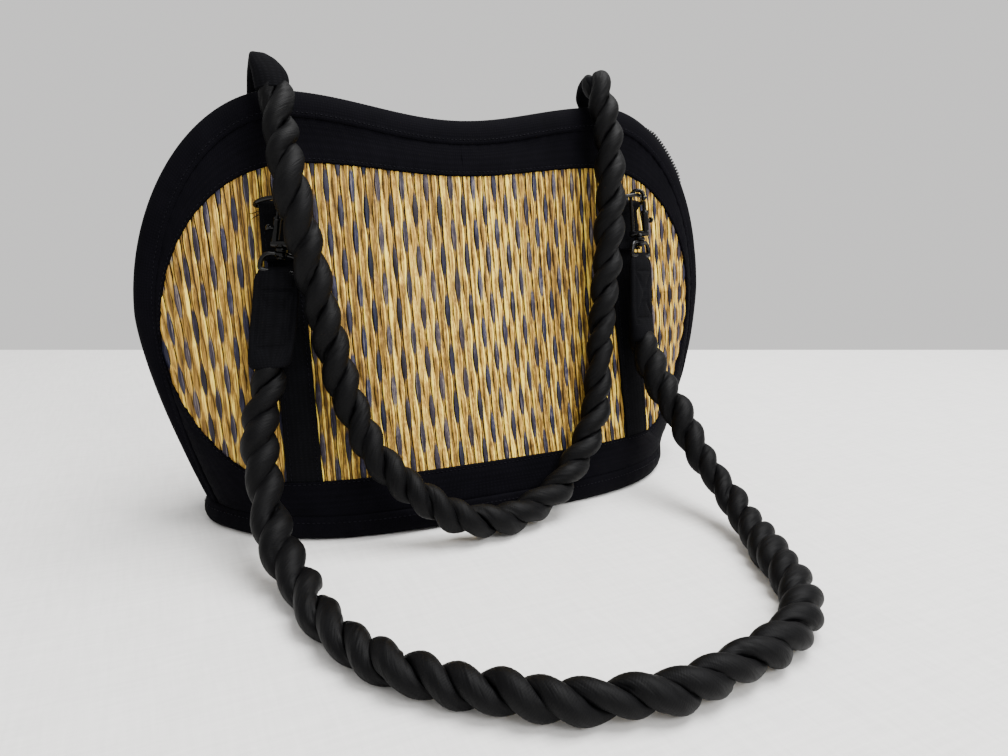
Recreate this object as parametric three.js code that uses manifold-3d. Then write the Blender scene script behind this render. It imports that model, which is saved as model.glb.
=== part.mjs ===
// Straw handbag with black fabric trim, a zip over the top and two twisted rope handles.
// Millimetres, +Z up, the front faces -Y, the origin is the middle of the base's underside.
import * as THREE from 'three';
import { mergeVertices } from 'three/addons/utils/BufferGeometryUtils.js';
import Module from 'manifold-3d';

const wasm = await Module();
wasm.setup();

const GAP = 0.3;
const RIGHT = 1;
const LEFT = -1;
const FRONT = -1;
const BACK = 1;

// Body: the outer seam is the line where the zip gusset meets a panel's border
const BAG_WIDTH = 350;
const GUSSET_REACH = 10;
const GUSSET_RISE = 12;
const GUSSET_PUFF = 1.4;
const BASE_SEAM_Z = 12.2;
const BASE_HALF_DEPTH = 62;
const EDGE_HALF_DEPTH_LOW = 9;
const EDGE_HALF_DEPTH_TOP = 7;
const DEPTH_FADE = 0.8;
const END_POWER = 3.55;
const END_ROOT = 1.37;
const WALL = 2;

// Outlines of the seam, the zip ridge and the reed panel, each a half from the top dip to the bottom
const SEAM = {
  dipZ: 202.2, humpX: 97, humpZ: 213.3, wideX: BAG_WIDTH / 2 - GUSSET_REACH, wideZ: 114.5,
  shoulderPower: 1.91, cornerX: 143.4, bottomZ: BASE_SEAM_Z, sidePower: 1.76,
};
const RIDGE = {
  ...SEAM, dipZ: SEAM.dipZ + GUSSET_RISE, humpZ: SEAM.humpZ + GUSSET_RISE,
  wideX: BAG_WIDTH / 2, cornerX: 147.5, sidePower: 1.46,
};
const REED = {
  dipZ: 183.3, humpX: 88, humpZ: 189, wideX: SEAM.wideX - 4, wideZ: 96.3,
  shoulderPower: 2.12, cornerX: 113, bottomZ: 30.1, cornerPower: 1.66,
};
const REED_MIDDLE_Z = 108;
const STEPS = { top: 6, shoulder: 8, side: 8, bottom: 8 };

// Zip
const ZIP_HALF_WIDTH = 2.9;
const ZIP_THICK = 2;
const ZIP_BEAD = 0.9;
const SLIDER_Z = 34;

// Straps up the panels, and the loops that hold the D-rings
const BAND_INNER_X = 95;
const BAND_WIDTH = 15.5;
const BAND_TOP_Z = 160;
const BAND_LIFT = 0.7;
const BAND_THICK = 1.5;
const RING_X = 104.2;
const RING_Z = 166.6;
const LOOP_WIDTH = 17;
const LOOP_LENGTH = 27;
const LOOP_LIFT = 3;
const LOOP_THICK = 1.5;
const LOOP_EYE = { radius: 2.9, hole: 1.5 };
const RING_WIRE = 1.1;
const RING_HALF_WIDTH = 10.3;
const RING_REACH = 9.2;
const RING_CORNER = 1.4;
const RING_LIFT = 5.2;
const RING_TILT = { front_left: 14, front_right: 26, back_left: 62, back_right: 62 };

// Swivel clasps: the hook's own Z runs up its shank, and the ring's wire passes through its origin
const CLASP = {
  front_left: { offset: -4.4, turn: -34, lean: 2, swing: 10, eyeTurn: 0 },
  front_right: { offset: 2, turn: 42, lean: 2, swing: 0, eyeTurn: -20 },
  back: { offset: 0, turn: 90, lean: 1.5, swing: 0, eyeTurn: 0 },
};
const JAW_RADIUS = 3.75;
const JAW_WIRE = 1.1;
const JAW_DROP = 0.9;
const TIP_RADIUS = 1.5;
const TIP_Z = -2.2;
const SHANK_BOTTOM_Z = -22.2;
const BARREL = { top: -9.5, radius: 2.05, bore: 1.5 };
const BOLT = { top: -4.1, bottom: -17.6, radius: 1.1, travel: 4 };
const KNOB = { z: -15.2, stem: 0.75, reach: 4.4, radius: 1.7, thick: 1.4 };
const SWIVEL = { top: -25, bottom: -28.2, radius: 2.9, bore: 1.65, post: 1.15, head: 2.1 };
const EYE = { topHalf: 6.4, lowHalf: 9.3, topZ: -26.8, lowZ: -36.2, wire: 1.2 };

// Fabric tabs that join the clasps to the ropes
const TAB_LENGTH = 51;
const TAB_EYE = { radius: 3, hole: 1.6, halfWidth: 7.3 };
const TAB_FORM = [
  { at: 2.2, half: 7.6, thick: 4.2 },
  { at: 5, half: 9.6, thick: 4.6 },
  { at: 10, half: 10.8, thick: 5 },
  { at: 17, half: 11.1, thick: 5 },
  { at: 24, half: 11.3, thick: 5 },
  { at: 31, half: 11.1, thick: 5 },
  { at: 38, half: 10.8, thick: 5 },
  { at: 45, half: 10.4, thick: 5 },
  { at: TAB_LENGTH, half: 9.8, thick: 4.8 },
];
const FRONT_TAB_FALL = THREE.MathUtils.degToRad(-0.6);
const BACK_TAB = { straight: 18, foldRadius: 12 };
const TAB_POSE = {
  front_left: { length: 48.4, sway: 8, soon: 1, fullness: 1 },
  front_right: { length: 50.2, sway: -5, soon: 1, fullness: 1 },
  back_left: { length: 51, sway: -1.5, soon: 1.9, fullness: 0.9 },
  back_right: { length: 51, sway: -16, soon: 1, fullness: 0.9 },
};

// Ropes: the middle of each handle's two strands, from its left tab to its right one
const ROPE_RADIUS = 8.2;
const ROPE_SIDES = 8;
const ROPE_STEPS = 30;
const FRONT_ROPE = [
  [-116, -43.6, 86.4], [-118.8, -46.5, 76.5], [-121.8, -50.5, 64.8], [-122.8, -57, 51.5], [-123.3, -67, 37.4],
  [-123.6, -79, 26.2], [-123, -93, 16.5], [-121.4, -110, 9.6], [-118.5, -132, 8.5], [-112.5, -150, 8.5],
  [-99, -178, 8.5], [-78, -201, 8.5], [-50, -220, 8.5], [-18, -231, 8.5], [14, -231, 8.5],
  [45, -222, 8.5], [69, -205, 8.5], [86, -181, 8.5], [97, -156, 9.2], [105.5, -133, 13],
  [109.5, -112, 23.5], [110, -94, 36], [109, -77, 52], [107.2, -64, 64], [105, -54, 75.5],
  [103.2, -46, 86],
];
const BACK_ROPE = [
  [-101, -15.4, 227.8], [-100.6, -20, 217], [-100, -29.5, 201.5], [-99.7, -38.5, 186.5], [-98.4, -43, 172.5],
  [-94.4, -43.6, 149.4], [-89.4, -44.6, 125.2], [-84.8, -47.4, 100.5], [-79.2, -53, 75.8], [-70.8, -61, 52.4],
  [-61, -70, 37.6], [-47.6, -78.5, 24.5], [-35, -83, 16], [-21.6, -84, 10.6], [-3.4, -82.3, 8.5],
  [14.2, -78, 10.6], [31.7, -72, 17.5], [46.5, -65.5, 27.8], [58, -59.8, 42.2], [66, -54, 60.8],
  [72, -47.3, 88.5], [76.6, -41.3, 116.7], [81.2, -36.2, 145], [85.1, -31, 173.3], [86.8, -23.5, 204.4],
  [86.6, -15, 227.8],
];

// Materials
function material(colour, roughness, metalness = 0) {
  return new THREE.MeshStandardMaterial({ color: colour, roughness, metalness });
}
const REED_STRAW = material(0xc8a55f, 0.6);
const BLACK_FABRIC = material(0x14141c, 0.85);
const BLACK_CORD = material(0x101014, 0.6);
const BLACK_ZIP = material(0x0c0c10, 0.5);
const BLACK_METAL = material(0x08080a, 0.25, 0.9);

const vec = (x, y, z) => new THREE.Vector3(x, y, z);
const clamp01 = (value) => THREE.MathUtils.clamp(value, 0, 1);

// Half the bag's thickness at its outer seam
function edgeDepth(z) {
  const t = clamp01((z - BASE_SEAM_Z) / (SEAM.humpZ - BASE_SEAM_Z));
  return THREE.MathUtils.lerp(EDGE_HALF_DEPTH_LOW, EDGE_HALF_DEPTH_TOP, t);
}

// Half the seam's width at a height
function seamHalfWidth(z) {
  const { wideX, wideZ, humpX, humpZ, shoulderPower, cornerX, bottomZ, sidePower } = SEAM;
  if (z > wideZ) {
    const t = clamp01((z - wideZ) / (humpZ - wideZ));
    return humpX + (wideX - humpX) * (1 - t ** shoulderPower) ** (1 / shoulderPower);
  }
  return wideX - (wideX - cornerX) * clamp01((wideZ - z) / (wideZ - bottomZ)) ** sidePower;
}

// How far the front panel stands in front of the bag's middle plane
function frontDepth(x, z) {
  const t = clamp01((z - BASE_SEAM_Z) / (SEAM.dipZ - BASE_SEAM_Z));
  const bulge = (BASE_HALF_DEPTH - EDGE_HALF_DEPTH_LOW) * (1 - t ** DEPTH_FADE);
  const s = clamp01(Math.abs(x) / seamHalfWidth(z));
  return edgeDepth(z) + bulge * (1 - s ** END_POWER) ** (1 / END_ROOT);
}

function onPanel(x, z) {
  return vec(x, -frontDepth(x, z), z);
}

// Unit normal of the front panel, pointing into the bag
function inward(x, z) {
  const step = 0.5;
  const limit = 0.985 * seamHalfWidth(z);
  const at = THREE.MathUtils.clamp(x, -limit, limit);
  const height = Math.max(z, BASE_SEAM_Z + 2);
  const slopeX = (frontDepth(at + step, height) - frontDepth(at - step, height)) / (2 * step);
  const slopeZ = (frontDepth(at, height + step) - frontDepth(at, height - step)) / (2 * step);
  const level = clamp01((z - BASE_SEAM_Z) / 10);
  return vec(slopeX, 1, slopeZ * level).normalize();
}

// Right half of an outline, from the dip in the middle of the top to the middle of the bottom
function halfOutline(o) {
  const points = [];
  for (let i = 0; i < STEPS.top; i += 1) {
    const t = i / STEPS.top;
    const z = o.dipZ + (o.humpZ - o.dipZ) * (1 - Math.cos(Math.PI * t)) / 2;
    points.push({ x: o.humpX * t, z });
  }
  for (let i = 0; i < STEPS.shoulder; i += 1) {
    const a = (Math.PI / 2) * (i / STEPS.shoulder);
    const x = o.humpX + (o.wideX - o.humpX) * Math.sin(a) ** (2 / o.shoulderPower);
    const z = o.wideZ + (o.humpZ - o.wideZ) * Math.cos(a) ** (2 / o.shoulderPower);
    points.push({ x, z });
  }
  for (let i = 0; i < STEPS.side; i += 1) {
    const t = i / STEPS.side;
    if (o.cornerPower) {
      const a = (Math.PI / 2) * t;
      const x = o.cornerX + (o.wideX - o.cornerX) * Math.cos(a) ** (2 / o.cornerPower);
      const z = o.wideZ - (o.wideZ - o.bottomZ) * Math.sin(a) ** (2 / o.cornerPower);
      points.push({ x, z });
    } else {
      const z = THREE.MathUtils.lerp(o.wideZ, o.bottomZ, t);
      points.push({ x: o.wideX - (o.wideX - o.cornerX) * t ** o.sidePower, z });
    }
  }
  for (let i = 0; i <= STEPS.bottom; i += 1) {
    const a = (Math.PI / 2) * (i / STEPS.bottom);
    points.push({ x: i === STEPS.bottom ? 0 : o.cornerX * Math.cos(a), z: o.bottomZ });
  }
  return points;
}

// Whole closed outline: the right half, then the left half back up
function wholeOutline(o) {
  const half = halfOutline(o);
  const other = half.slice(1, -1).reverse().map(({ x, z }) => ({ x: -x, z }));
  return [...half, ...other];
}

// Outline without its bottom line, from the left foot over the top to the right foot
function archOutline(o) {
  const half = halfOutline(o).slice(0, STEPS.top + STEPS.shoulder + STEPS.side + 1);
  const other = half.slice(1).reverse().map(({ x, z }) => ({ x: -x, z }));
  return [...other, ...half];
}

// Closed solids from points and triangles, with faces turned outward
function solid(points, triangles) {
  let volume = 0;
  for (const [a, b, c] of triangles) {
    volume += points[a].dot(vec(0, 0, 0).crossVectors(points[b], points[c]));
  }
  const turned = volume < 0 ? triangles.map(([a, b, c]) => [a, c, b]) : triangles;
  const geometry = new THREE.BufferGeometry();
  const flat = points.flatMap((p) => [p.x, p.y, p.z]);
  geometry.setAttribute('position', new THREE.Float32BufferAttribute(flat, 3));
  geometry.setIndex(turned.flat());
  return geometry;
}

// Same solid with plain shared vertices and faces outward, after any change of place
function cleaned(geometry) {
  const bare = geometry.clone();
  bare.deleteAttribute('normal');
  bare.deleteAttribute('uv');
  const merged = mergeVertices(bare, 1e-5);
  const position = merged.getAttribute('position');
  const points = [];
  for (let i = 0; i < position.count; i += 1) {
    points.push(vec(0, 0, 0).fromBufferAttribute(position, i));
  }
  const index = merged.getIndex().array;
  const triangles = [];
  for (let i = 0; i < index.length; i += 3) {
    const [a, b, c] = [index[i], index[i + 1], index[i + 2]];
    if (a !== b && b !== c && a !== c) triangles.push([a, b, c]);
  }
  return solid(points, triangles);
}

// Joins and cuts solids
function toManifold(geometry) {
  const clean = cleaned(geometry);
  const mesh = new wasm.Mesh({
    numProp: 3,
    vertProperties: new Float32Array(clean.getAttribute('position').array),
    triVerts: new Uint32Array(clean.getIndex().array),
  });
  return new wasm.Manifold(mesh);
}

function combined(added, removed = []) {
  let result = toManifold(added[0]);
  for (const piece of added.slice(1)) result = result.add(toManifold(piece));
  for (const piece of removed) result = result.subtract(toManifold(piece));
  const mesh = result.getMesh();
  const geometry = new THREE.BufferGeometry();
  const flat = new THREE.Float32BufferAttribute(Float32Array.from(mesh.vertProperties), 3);
  geometry.setAttribute('position', flat);
  geometry.setIndex(Array.from(mesh.triVerts));
  return cleaned(geometry);
}

// Thin wall from rings of paired points on its outside and its inside; a ring may be one point
function wall(rings) {
  const points = [];
  const triangles = [];
  const count = rings[rings.length - 1].length;
  const starts = rings.map((ring) => {
    const start = points.length;
    for (const { out } of ring) points.push(out);
    for (const { into } of ring) points.push(into);
    return start;
  });
  const quad = (a, b, c, d) => triangles.push([a, b, c], [a, c, d]);
  for (let r = 0; r + 1 < rings.length; r += 1) {
    for (let i = 0; i < count; i += 1) {
      const j = (i + 1) % count;
      const [near, far] = [starts[r], starts[r + 1]];
      if (rings[r].length === 1) {
        triangles.push([near, far + i, far + j], [near + 1, far + count + j, far + count + i]);
      } else {
        quad(near + i, far + i, far + j, near + j);
        quad(near + count + j, far + count + j, far + count + i, near + count + i);
      }
    }
  }
  const rim = (start, flip) => {
    for (let i = 0; i < count; i += 1) {
      const j = (i + 1) % count;
      const corners = [start + i, start + count + i, start + count + j, start + j];
      quad(...(flip ? corners.reverse() : corners));
    }
  };
  rim(starts[rings.length - 1], false);
  if (rings[0].length > 1) rim(starts[0], true);
  return solid(points, triangles);
}

// Solid swept through matching closed sections, capped at both ends or closed on itself
function swept(sections, flatSection, closed = false) {
  const count = sections[0].length;
  const points = sections.flat();
  const triangles = [];
  const last = closed ? sections.length : sections.length - 1;
  for (let r = 0; r < last; r += 1) {
    const near = r * count;
    const far = ((r + 1) % sections.length) * count;
    for (let i = 0; i < count; i += 1) {
      const j = (i + 1) % count;
      triangles.push([near + i, far + i, far + j], [near + i, far + j, near + j]);
    }
  }
  if (!closed) {
    const end = (sections.length - 1) * count;
    const flip = THREE.ShapeUtils.area(flatSection) < 0;
    for (const [a, b, c] of THREE.ShapeUtils.triangulateShape(flatSection, [])) {
      const [first, second, third] = flip ? [a, c, b] : [a, b, c];
      triangles.push([first, second, third], [end + first, end + third, end + second]);
    }
  }
  return solid(points, triangles);
}

// Round wire along a flat closed or open path, given as points in the XY plane
function flatWire(path, radius, sides, closed) {
  const turn = path.length;
  const sections = path.map((point, i) => {
    const before = closed ? path[(i + turn - 1) % turn] : path[Math.max(i - 1, 0)];
    const after = closed ? path[(i + 1) % turn] : path[Math.min(i + 1, turn - 1)];
    const into = point.clone().sub(before);
    const outOf = after.clone().sub(point);
    const along = into.normalize().add(outOf.normalize()).normalize();
    const across = vec(along.y, -along.x, 0);
    return Array.from({ length: sides }, (_, k) => {
      const a = (2 * Math.PI * (k + 0.5)) / sides;
      const offset = across.clone().multiplyScalar(radius * Math.cos(a));
      return vec(point.x, point.y, radius * Math.sin(a)).add(offset);
    });
  });
  const flatSection = Array.from({ length: sides }, (_, k) => {
    const a = (2 * Math.PI * (k + 0.5)) / sides;
    return new THREE.Vector2(Math.cos(a), Math.sin(a));
  });
  return swept(sections, flatSection, closed);
}

function upright(radius, bottom, top, x = 0, sides = 10) {
  const geometry = new THREE.CylinderGeometry(radius, radius, top - bottom, sides);
  return geometry.rotateX(Math.PI / 2).translate(x, 0, (top + bottom) / 2);
}

// Front panel pieces
function wallPoint({ x, z }) {
  const out = onPanel(x, z);
  return { out, into: out.clone().addScaledVector(inward(x, z), WALL) };
}

function blend(a, b, t) {
  return { x: THREE.MathUtils.lerp(a.x, b.x, t), z: THREE.MathUtils.lerp(a.z, b.z, t) };
}

function reedPanel() {
  const outline = wholeOutline(REED);
  const middle = { x: 0, z: REED_MIDDLE_Z };
  const rings = [0.36, 0.66, 0.88, 1].map((t) => (
    outline.map((point) => wallPoint(blend(middle, point, t)))
  ));
  return wall([[wallPoint(middle)], ...rings]);
}

// Closed outline moved outward by a distance
function widened(outline, distance) {
  const count = outline.length;
  return outline.map(({ x, z }, i) => {
    const before = outline[(i + count - 1) % count];
    const after = outline[(i + 1) % count];
    const away = new THREE.Vector2(before.z - after.z, after.x - before.x).normalize();
    return { x: x + away.x * distance, z: z + away.y * distance };
  });
}

function border() {
  const inner = widened(wholeOutline(REED), 1.5 * GAP);
  const outer = wholeOutline(SEAM);
  const rings = [0, 0.35, 0.72, 1].map((t) => (
    outer.map((point, i) => wallPoint(blend(inner[i], point, t)))
  ));
  return wall(rings);
}

// Outward normal of an arch's outline in its own plane
function archNormals(outline) {
  return outline.map((_, i) => {
    const before = outline[Math.max(i - 1, 0)];
    const after = outline[Math.min(i + 1, outline.length - 1)];
    return vec(-(after.z - before.z), 0, after.x - before.x).normalize();
  });
}

function gusset() {
  const seam = archOutline(SEAM);
  const ridge = archOutline(RIDGE);
  const normals = archNormals(ridge);
  const sections = seam.map((point, i) => {
    const into = inward(point.x, point.z);
    const before = seam[Math.max(i - 1, 0)];
    const after = seam[Math.min(i + 1, seam.length - 1)];
    const along = vec(after.x - before.x, 0, after.z - before.z).normalize();
    const away = vec(0, 0, 0).crossVectors(along, into).normalize();
    if (away.dot(normals[i]) + away.y * 0.5 < 0) away.negate();
    const start = onPanel(point.x, point.z).addScaledVector(away, 1.5 * GAP);
    const end = vec(ridge[i].x, -ZIP_HALF_WIDTH - GAP, ridge[i].z);
    const middle = start.clone().lerp(end, 0.5);
    const puff = normals[i].clone().add(vec(0, -0.6, 0)).normalize();
    middle.addScaledVector(puff, GUSSET_PUFF);
    const startIn = start.clone().addScaledVector(into, WALL);
    const endIn = end.clone().addScaledVector(normals[i], -WALL);
    const middleIn = startIn.clone().lerp(endIn, 0.5).addScaledVector(puff, GUSSET_PUFF);
    const section = [start, middle, end, endIn, middleIn, startIn];
    const foot = i === 0 || i === seam.length - 1;
    if (foot) section.forEach((p) => p.setZ(BASE_SEAM_Z));
    return section;
  });
  const flatSection = [[0, 0], [1, 0.3], [2, 0], [2, -1], [1, -0.7], [0, -1]];
  return swept(sections, flatSection.map(([x, y]) => new THREE.Vector2(x, y)));
}

function zipChain() {
  const ridge = archOutline(RIDGE);
  const normals = archNormals(ridge);
  const half = ZIP_HALF_WIDTH;
  const profile = [[-half, 0], [-1.3, ZIP_BEAD], [1.3, ZIP_BEAD], [half, 0], [half, -ZIP_THICK], [-half, -ZIP_THICK]];
  const sections = ridge.map((point, i) => profile.map(([y, rise]) => {
    const place = vec(point.x, y, point.z).addScaledVector(normals[i], rise);
    const foot = i === 0 || i === ridge.length - 1;
    return foot ? place.setZ(BASE_SEAM_Z) : place;
  }));
  return swept(sections, profile.map(([x, y]) => new THREE.Vector2(x, y)));
}

// Zip slider with its pull hanging to the back, low on the right side
function zipSlider() {
  const ridge = archOutline(RIDGE);
  const normals = archNormals(ridge);
  const right = ridge.map((point, i) => ({ ...point, normal: normals[i] })).slice(-STEPS.side);
  const at = right.reduce((best, p) => (Math.abs(p.z - SLIDER_Z) < Math.abs(best.z - SLIDER_Z) ? p : best));
  const along = vec(-at.normal.z, 0, at.normal.x);
  const frame = new THREE.Matrix4().makeBasis(along, vec(0, -1, 0), at.normal);
  frame.setPosition(vec(at.x, 0, at.z).addScaledVector(at.normal, ZIP_BEAD + 2 * GAP));
  const body = new THREE.BoxGeometry(10, 8, 3).translate(0, 0, 1.7);
  const bridge = new THREE.BoxGeometry(4, 2, 2).translate(0, -4, 3);
  const pull = new THREE.BoxGeometry(5, 20, 1.5).translate(0, -14, 3.2);
  return combined([body, bridge, pull]).applyMatrix4(frame);
}

// Base: a shallow tray whose rolled edge stands a little outside the panels
function baseTray() {
  const front = halfOutline(SEAM).slice(-STEPS.bottom - 1);
  const quarter = front.map(({ x }) => ({ x, y: frontDepth(x, BASE_SEAM_Z) }));
  const end = { x: RIDGE.cornerX, y: 0 };
  const across = quarter.slice(0, -1).reverse().map(({ x, y }) => ({ x: -x, y }));
  const back = [...quarter, ...across];
  const loop = [end, ...back, { x: -end.x, y: 0 }, ...back.map(({ x, y }) => ({ x, y: -y })).reverse()];
  const normals = loop.map((_, i) => {
    const before = loop[(i + loop.length - 1) % loop.length];
    const after = loop[(i + 1) % loop.length];
    return vec(after.y - before.y, -(after.x - before.x), 0).normalize();
  });
  const ringAt = (out, z) => loop.map(({ x, y }, i) => vec(x, y, z).addScaledVector(normals[i], out));
  const profile = [
    { out: -3, z: 0 }, { out: 0.3, z: 0.9 }, { out: 1.5, z: 4 }, { out: 1.6, z: 7.5 },
    { out: 0.9, z: BASE_SEAM_Z - GAP }, { out: -1.6, z: BASE_SEAM_Z - GAP }, { out: -1.3, z: 2.6 },
  ];
  const rings = profile.map(({ out, z }) => ringAt(out, z));
  const points = rings.flat();
  const count = loop.length;
  const triangles = [];
  for (let r = 0; r + 1 < rings.length; r += 1) {
    for (let i = 0; i < count; i += 1) {
      const j = (i + 1) % count;
      const [near, far] = [r * count, (r + 1) * count];
      triangles.push([near + i, far + i, far + j], [near + i, far + j, near + j]);
    }
  }
  const under = points.push(vec(0, 0, 0)) - 1;
  const floor = points.push(vec(0, 0, 2.6)) - 1;
  const top = (rings.length - 1) * count;
  for (let i = 0; i < count; i += 1) {
    const j = (i + 1) % count;
    triangles.push([under, i, j], [floor, top + j, top + i]);
  }
  return solid(points, triangles);
}

// Strap that runs up the panel from the bottom border
function band() {
  const across = [0, 0.5, 1].map((t) => BAND_INNER_X + BAND_WIDTH * t);
  const bottom = REED.bottomZ + 0.6;
  const rows = 9;
  const sections = Array.from({ length: rows }, (_, r) => {
    const z = THREE.MathUtils.lerp(bottom, BAND_TOP_Z, r / (rows - 1));
    const at = (x, lift) => onPanel(x, z).addScaledVector(inward(x, z), -lift);
    const outside = across.map((x) => at(x, BAND_LIFT + BAND_THICK));
    const inside = across.map((x) => at(x, BAND_LIFT)).reverse();
    return [...outside, ...inside];
  });
  const flatSection = [[0, 1], [1, 1], [2, 1], [2, 0], [1, 0], [0, 0]];
  return swept(sections, flatSection.map(([x, y]) => new THREE.Vector2(x, y)));
}

// Frame on the panel where the D-ring's bar lies: along the panel outward, up it, and off it
function ringFrame() {
  const off = inward(RING_X, RING_Z).negate();
  const slope = (frontDepth(RING_X + 0.5, RING_Z) - frontDepth(RING_X - 0.5, RING_Z));
  const outward = vec(1, -slope, 0).normalize();
  const up = vec(0, 0, 0).crossVectors(off, outward).normalize();
  return { origin: onPanel(RING_X, RING_Z), outward, up, off };
}

// Fabric loop folded round the D-ring's bar
function ringLoop() {
  const { origin, outward, up, off } = ringFrame();
  const { radius, hole } = LOOP_EYE;
  const inside = LOOP_LIFT - RING_LIFT;
  const outside = inside + LOOP_THICK;
  const shape = new THREE.Shape();
  const startAngle = Math.atan2(inside, -Math.sqrt(radius ** 2 - inside ** 2));
  const endAngle = Math.atan2(outside, -Math.sqrt(radius ** 2 - outside ** 2)) + 2 * Math.PI;
  shape.moveTo(-LOOP_LENGTH, inside);
  shape.lineTo(radius * Math.cos(startAngle), inside);
  shape.absarc(0, 0, radius, startAngle, endAngle, false);
  shape.lineTo(-LOOP_LENGTH, outside);
  shape.closePath();
  shape.holes.push(new THREE.Path().absarc(0, 0, hole, 0, 2 * Math.PI, true));
  const options = { depth: LOOP_WIDTH, bevelEnabled: false, curveSegments: 6 };
  const geometry = new THREE.ExtrudeGeometry(shape, options).translate(0, 0, -LOOP_WIDTH / 2);
  const frame = new THREE.Matrix4().makeBasis(up, off, outward);
  frame.setPosition(origin.clone().addScaledVector(off, RING_LIFT));
  return cleaned(geometry.applyMatrix4(frame));
}

// D-ring, lying in the plane of its bar and of the tilted direction it points in
function ringDirection(tilt) {
  const { up, off } = ringFrame();
  const angle = THREE.MathUtils.degToRad(tilt);
  return off.clone().multiplyScalar(Math.cos(angle)).addScaledVector(up, Math.sin(angle));
}

function dRing(place) {
  const { origin, outward, off } = ringFrame();
  const path = [];
  const corner = RING_HALF_WIDTH - RING_CORNER;
  for (let i = 0; i < 3; i += 1) {
    const a = (Math.PI / 4) * i - Math.PI / 2;
    path.push(vec(corner + RING_CORNER * Math.cos(a), RING_CORNER + RING_CORNER * Math.sin(a), 0));
  }
  for (let i = 1; i < 10; i += 1) {
    const a = (Math.PI / 10) * i;
    const rise = RING_CORNER + (RING_REACH - RING_CORNER) * Math.sin(a);
    path.push(vec(RING_HALF_WIDTH * Math.cos(a), rise, 0));
  }
  for (let i = 2; i >= 0; i -= 1) path.push(vec(-path[i].x, path[i].y, 0));
  const toward = ringDirection(RING_TILT[place]);
  const frame = new THREE.Matrix4().makeBasis(outward, toward, vec(0, 0, 0).crossVectors(outward, toward));
  frame.setPosition(origin.clone().addScaledVector(off, RING_LIFT));
  return cleaned(flatWire(path, RING_WIRE, 6, true).applyMatrix4(frame));
}

// Where a clasp holds the ring's wire, and its axes: down to the tab, and across toward its bolt
function claspFrame(tilt, downward, { offset, turn, lean, swing, eyeTurn }) {
  const { origin, outward, up, off } = ringFrame();
  const radians = THREE.MathUtils.degToRad;
  const rise = Math.sqrt(1 - (offset / RING_HALF_WIDTH) ** 2);
  const reach = RING_CORNER + (RING_REACH - RING_CORNER) * rise;
  const place = origin.clone().addScaledVector(off, RING_LIFT).addScaledVector(outward, offset);
  place.addScaledVector(ringDirection(tilt), reach);
  const upSign = downward ? 1 : -1;
  const shankUp = up.clone().multiplyScalar(upSign).addScaledVector(off, Math.tan(radians(lean)));
  shankUp.addScaledVector(outward, -Math.tan(radians(swing))).normalize();
  const depthAxis = off.clone().addScaledVector(shankUp, -off.dot(shankUp)).normalize().negate();
  const side = vec(0, 0, 0).crossVectors(depthAxis, shankUp);
  const across = side.clone().multiplyScalar(Math.cos(radians(turn)));
  across.addScaledVector(depthAxis, -Math.sin(radians(turn)));
  const jaw = new THREE.Matrix4().makeBasis(across, vec(0, 0, 0).crossVectors(shankUp, across), shankUp);
  const bar = side.clone().multiplyScalar(Math.cos(radians(eyeTurn)));
  bar.addScaledVector(depthAxis, -Math.sin(radians(eyeTurn)));
  const eye = new THREE.Matrix4().makeBasis(bar, vec(0, 0, 0).crossVectors(shankUp, bar), shankUp);
  [jaw, eye].forEach((frame) => frame.setPosition(place));
  return { jaw, eye, place, shankUp };
}

const CLASP_FRAMES = {
  front_left: claspFrame(RING_TILT.front_left, true, CLASP.front_left),
  front_right: claspFrame(RING_TILT.front_right, true, CLASP.front_right),
  back_left: claspFrame(RING_TILT.back_left, false, CLASP.back),
  back_right: claspFrame(RING_TILT.back_right, false, CLASP.back),
};

// Hook: fixed arm and arched jaw, the bolt's barrel, and the swivel's post
function hookBody(turn) {
  const path = [vec(-JAW_RADIUS, SHANK_BOTTOM_Z + 0.4, 0)];
  for (let i = 0; i <= 8; i += 1) {
    const a = Math.PI - (Math.PI / 8) * i;
    path.push(vec(JAW_RADIUS * Math.cos(a), JAW_RADIUS * Math.sin(a) - JAW_DROP, 0));
  }
  path.push(vec(JAW_RADIUS, TIP_Z, 0));
  const arm = flatWire(path, JAW_WIRE, 6, false).rotateX(Math.PI / 2);
  const tip = new THREE.SphereGeometry(TIP_RADIUS, 8, 6).translate(JAW_RADIUS, 0, TIP_Z);
  const barrel = upright(BARREL.radius, SHANK_BOTTOM_Z, BARREL.top, JAW_RADIUS);
  const foot = new THREE.CylinderGeometry(1.9, 1.9, 2 * JAW_RADIUS + 3.4, 8).rotateZ(Math.PI / 2);
  foot.translate(0, 0, SHANK_BOTTOM_Z - 0.6);
  const neck = upright(2.3, SWIVEL.top + GAP, SHANK_BOTTOM_Z - 0.6);
  const post = upright(SWIVEL.post, SWIVEL.bottom - GAP - 0.8, SWIVEL.top + 0.5, 0, 8);
  const head = upright(SWIVEL.head, SWIVEL.bottom - GAP - 1.1, SWIVEL.bottom - GAP, 0, 8);
  const bore = upright(BARREL.bore, SHANK_BOTTOM_Z + 0.4, BARREL.top + 1, JAW_RADIUS);
  const slotTop = KNOB.z + KNOB.stem + 2 * GAP;
  const slotBottom = KNOB.z - KNOB.stem - BOLT.travel - GAP;
  const slot = new THREE.BoxGeometry(BARREL.radius + 1, 2 * KNOB.stem + 2 * GAP, slotTop - slotBottom);
  slot.translate((BARREL.radius + 1) / 2, 0, (slotTop + slotBottom) / 2);
  slot.rotateZ(THREE.MathUtils.degToRad(turn)).translate(JAW_RADIUS, 0, 0);
  return combined([arm, tip, barrel, foot, neck, post, head], [bore, slot]);
}

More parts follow.
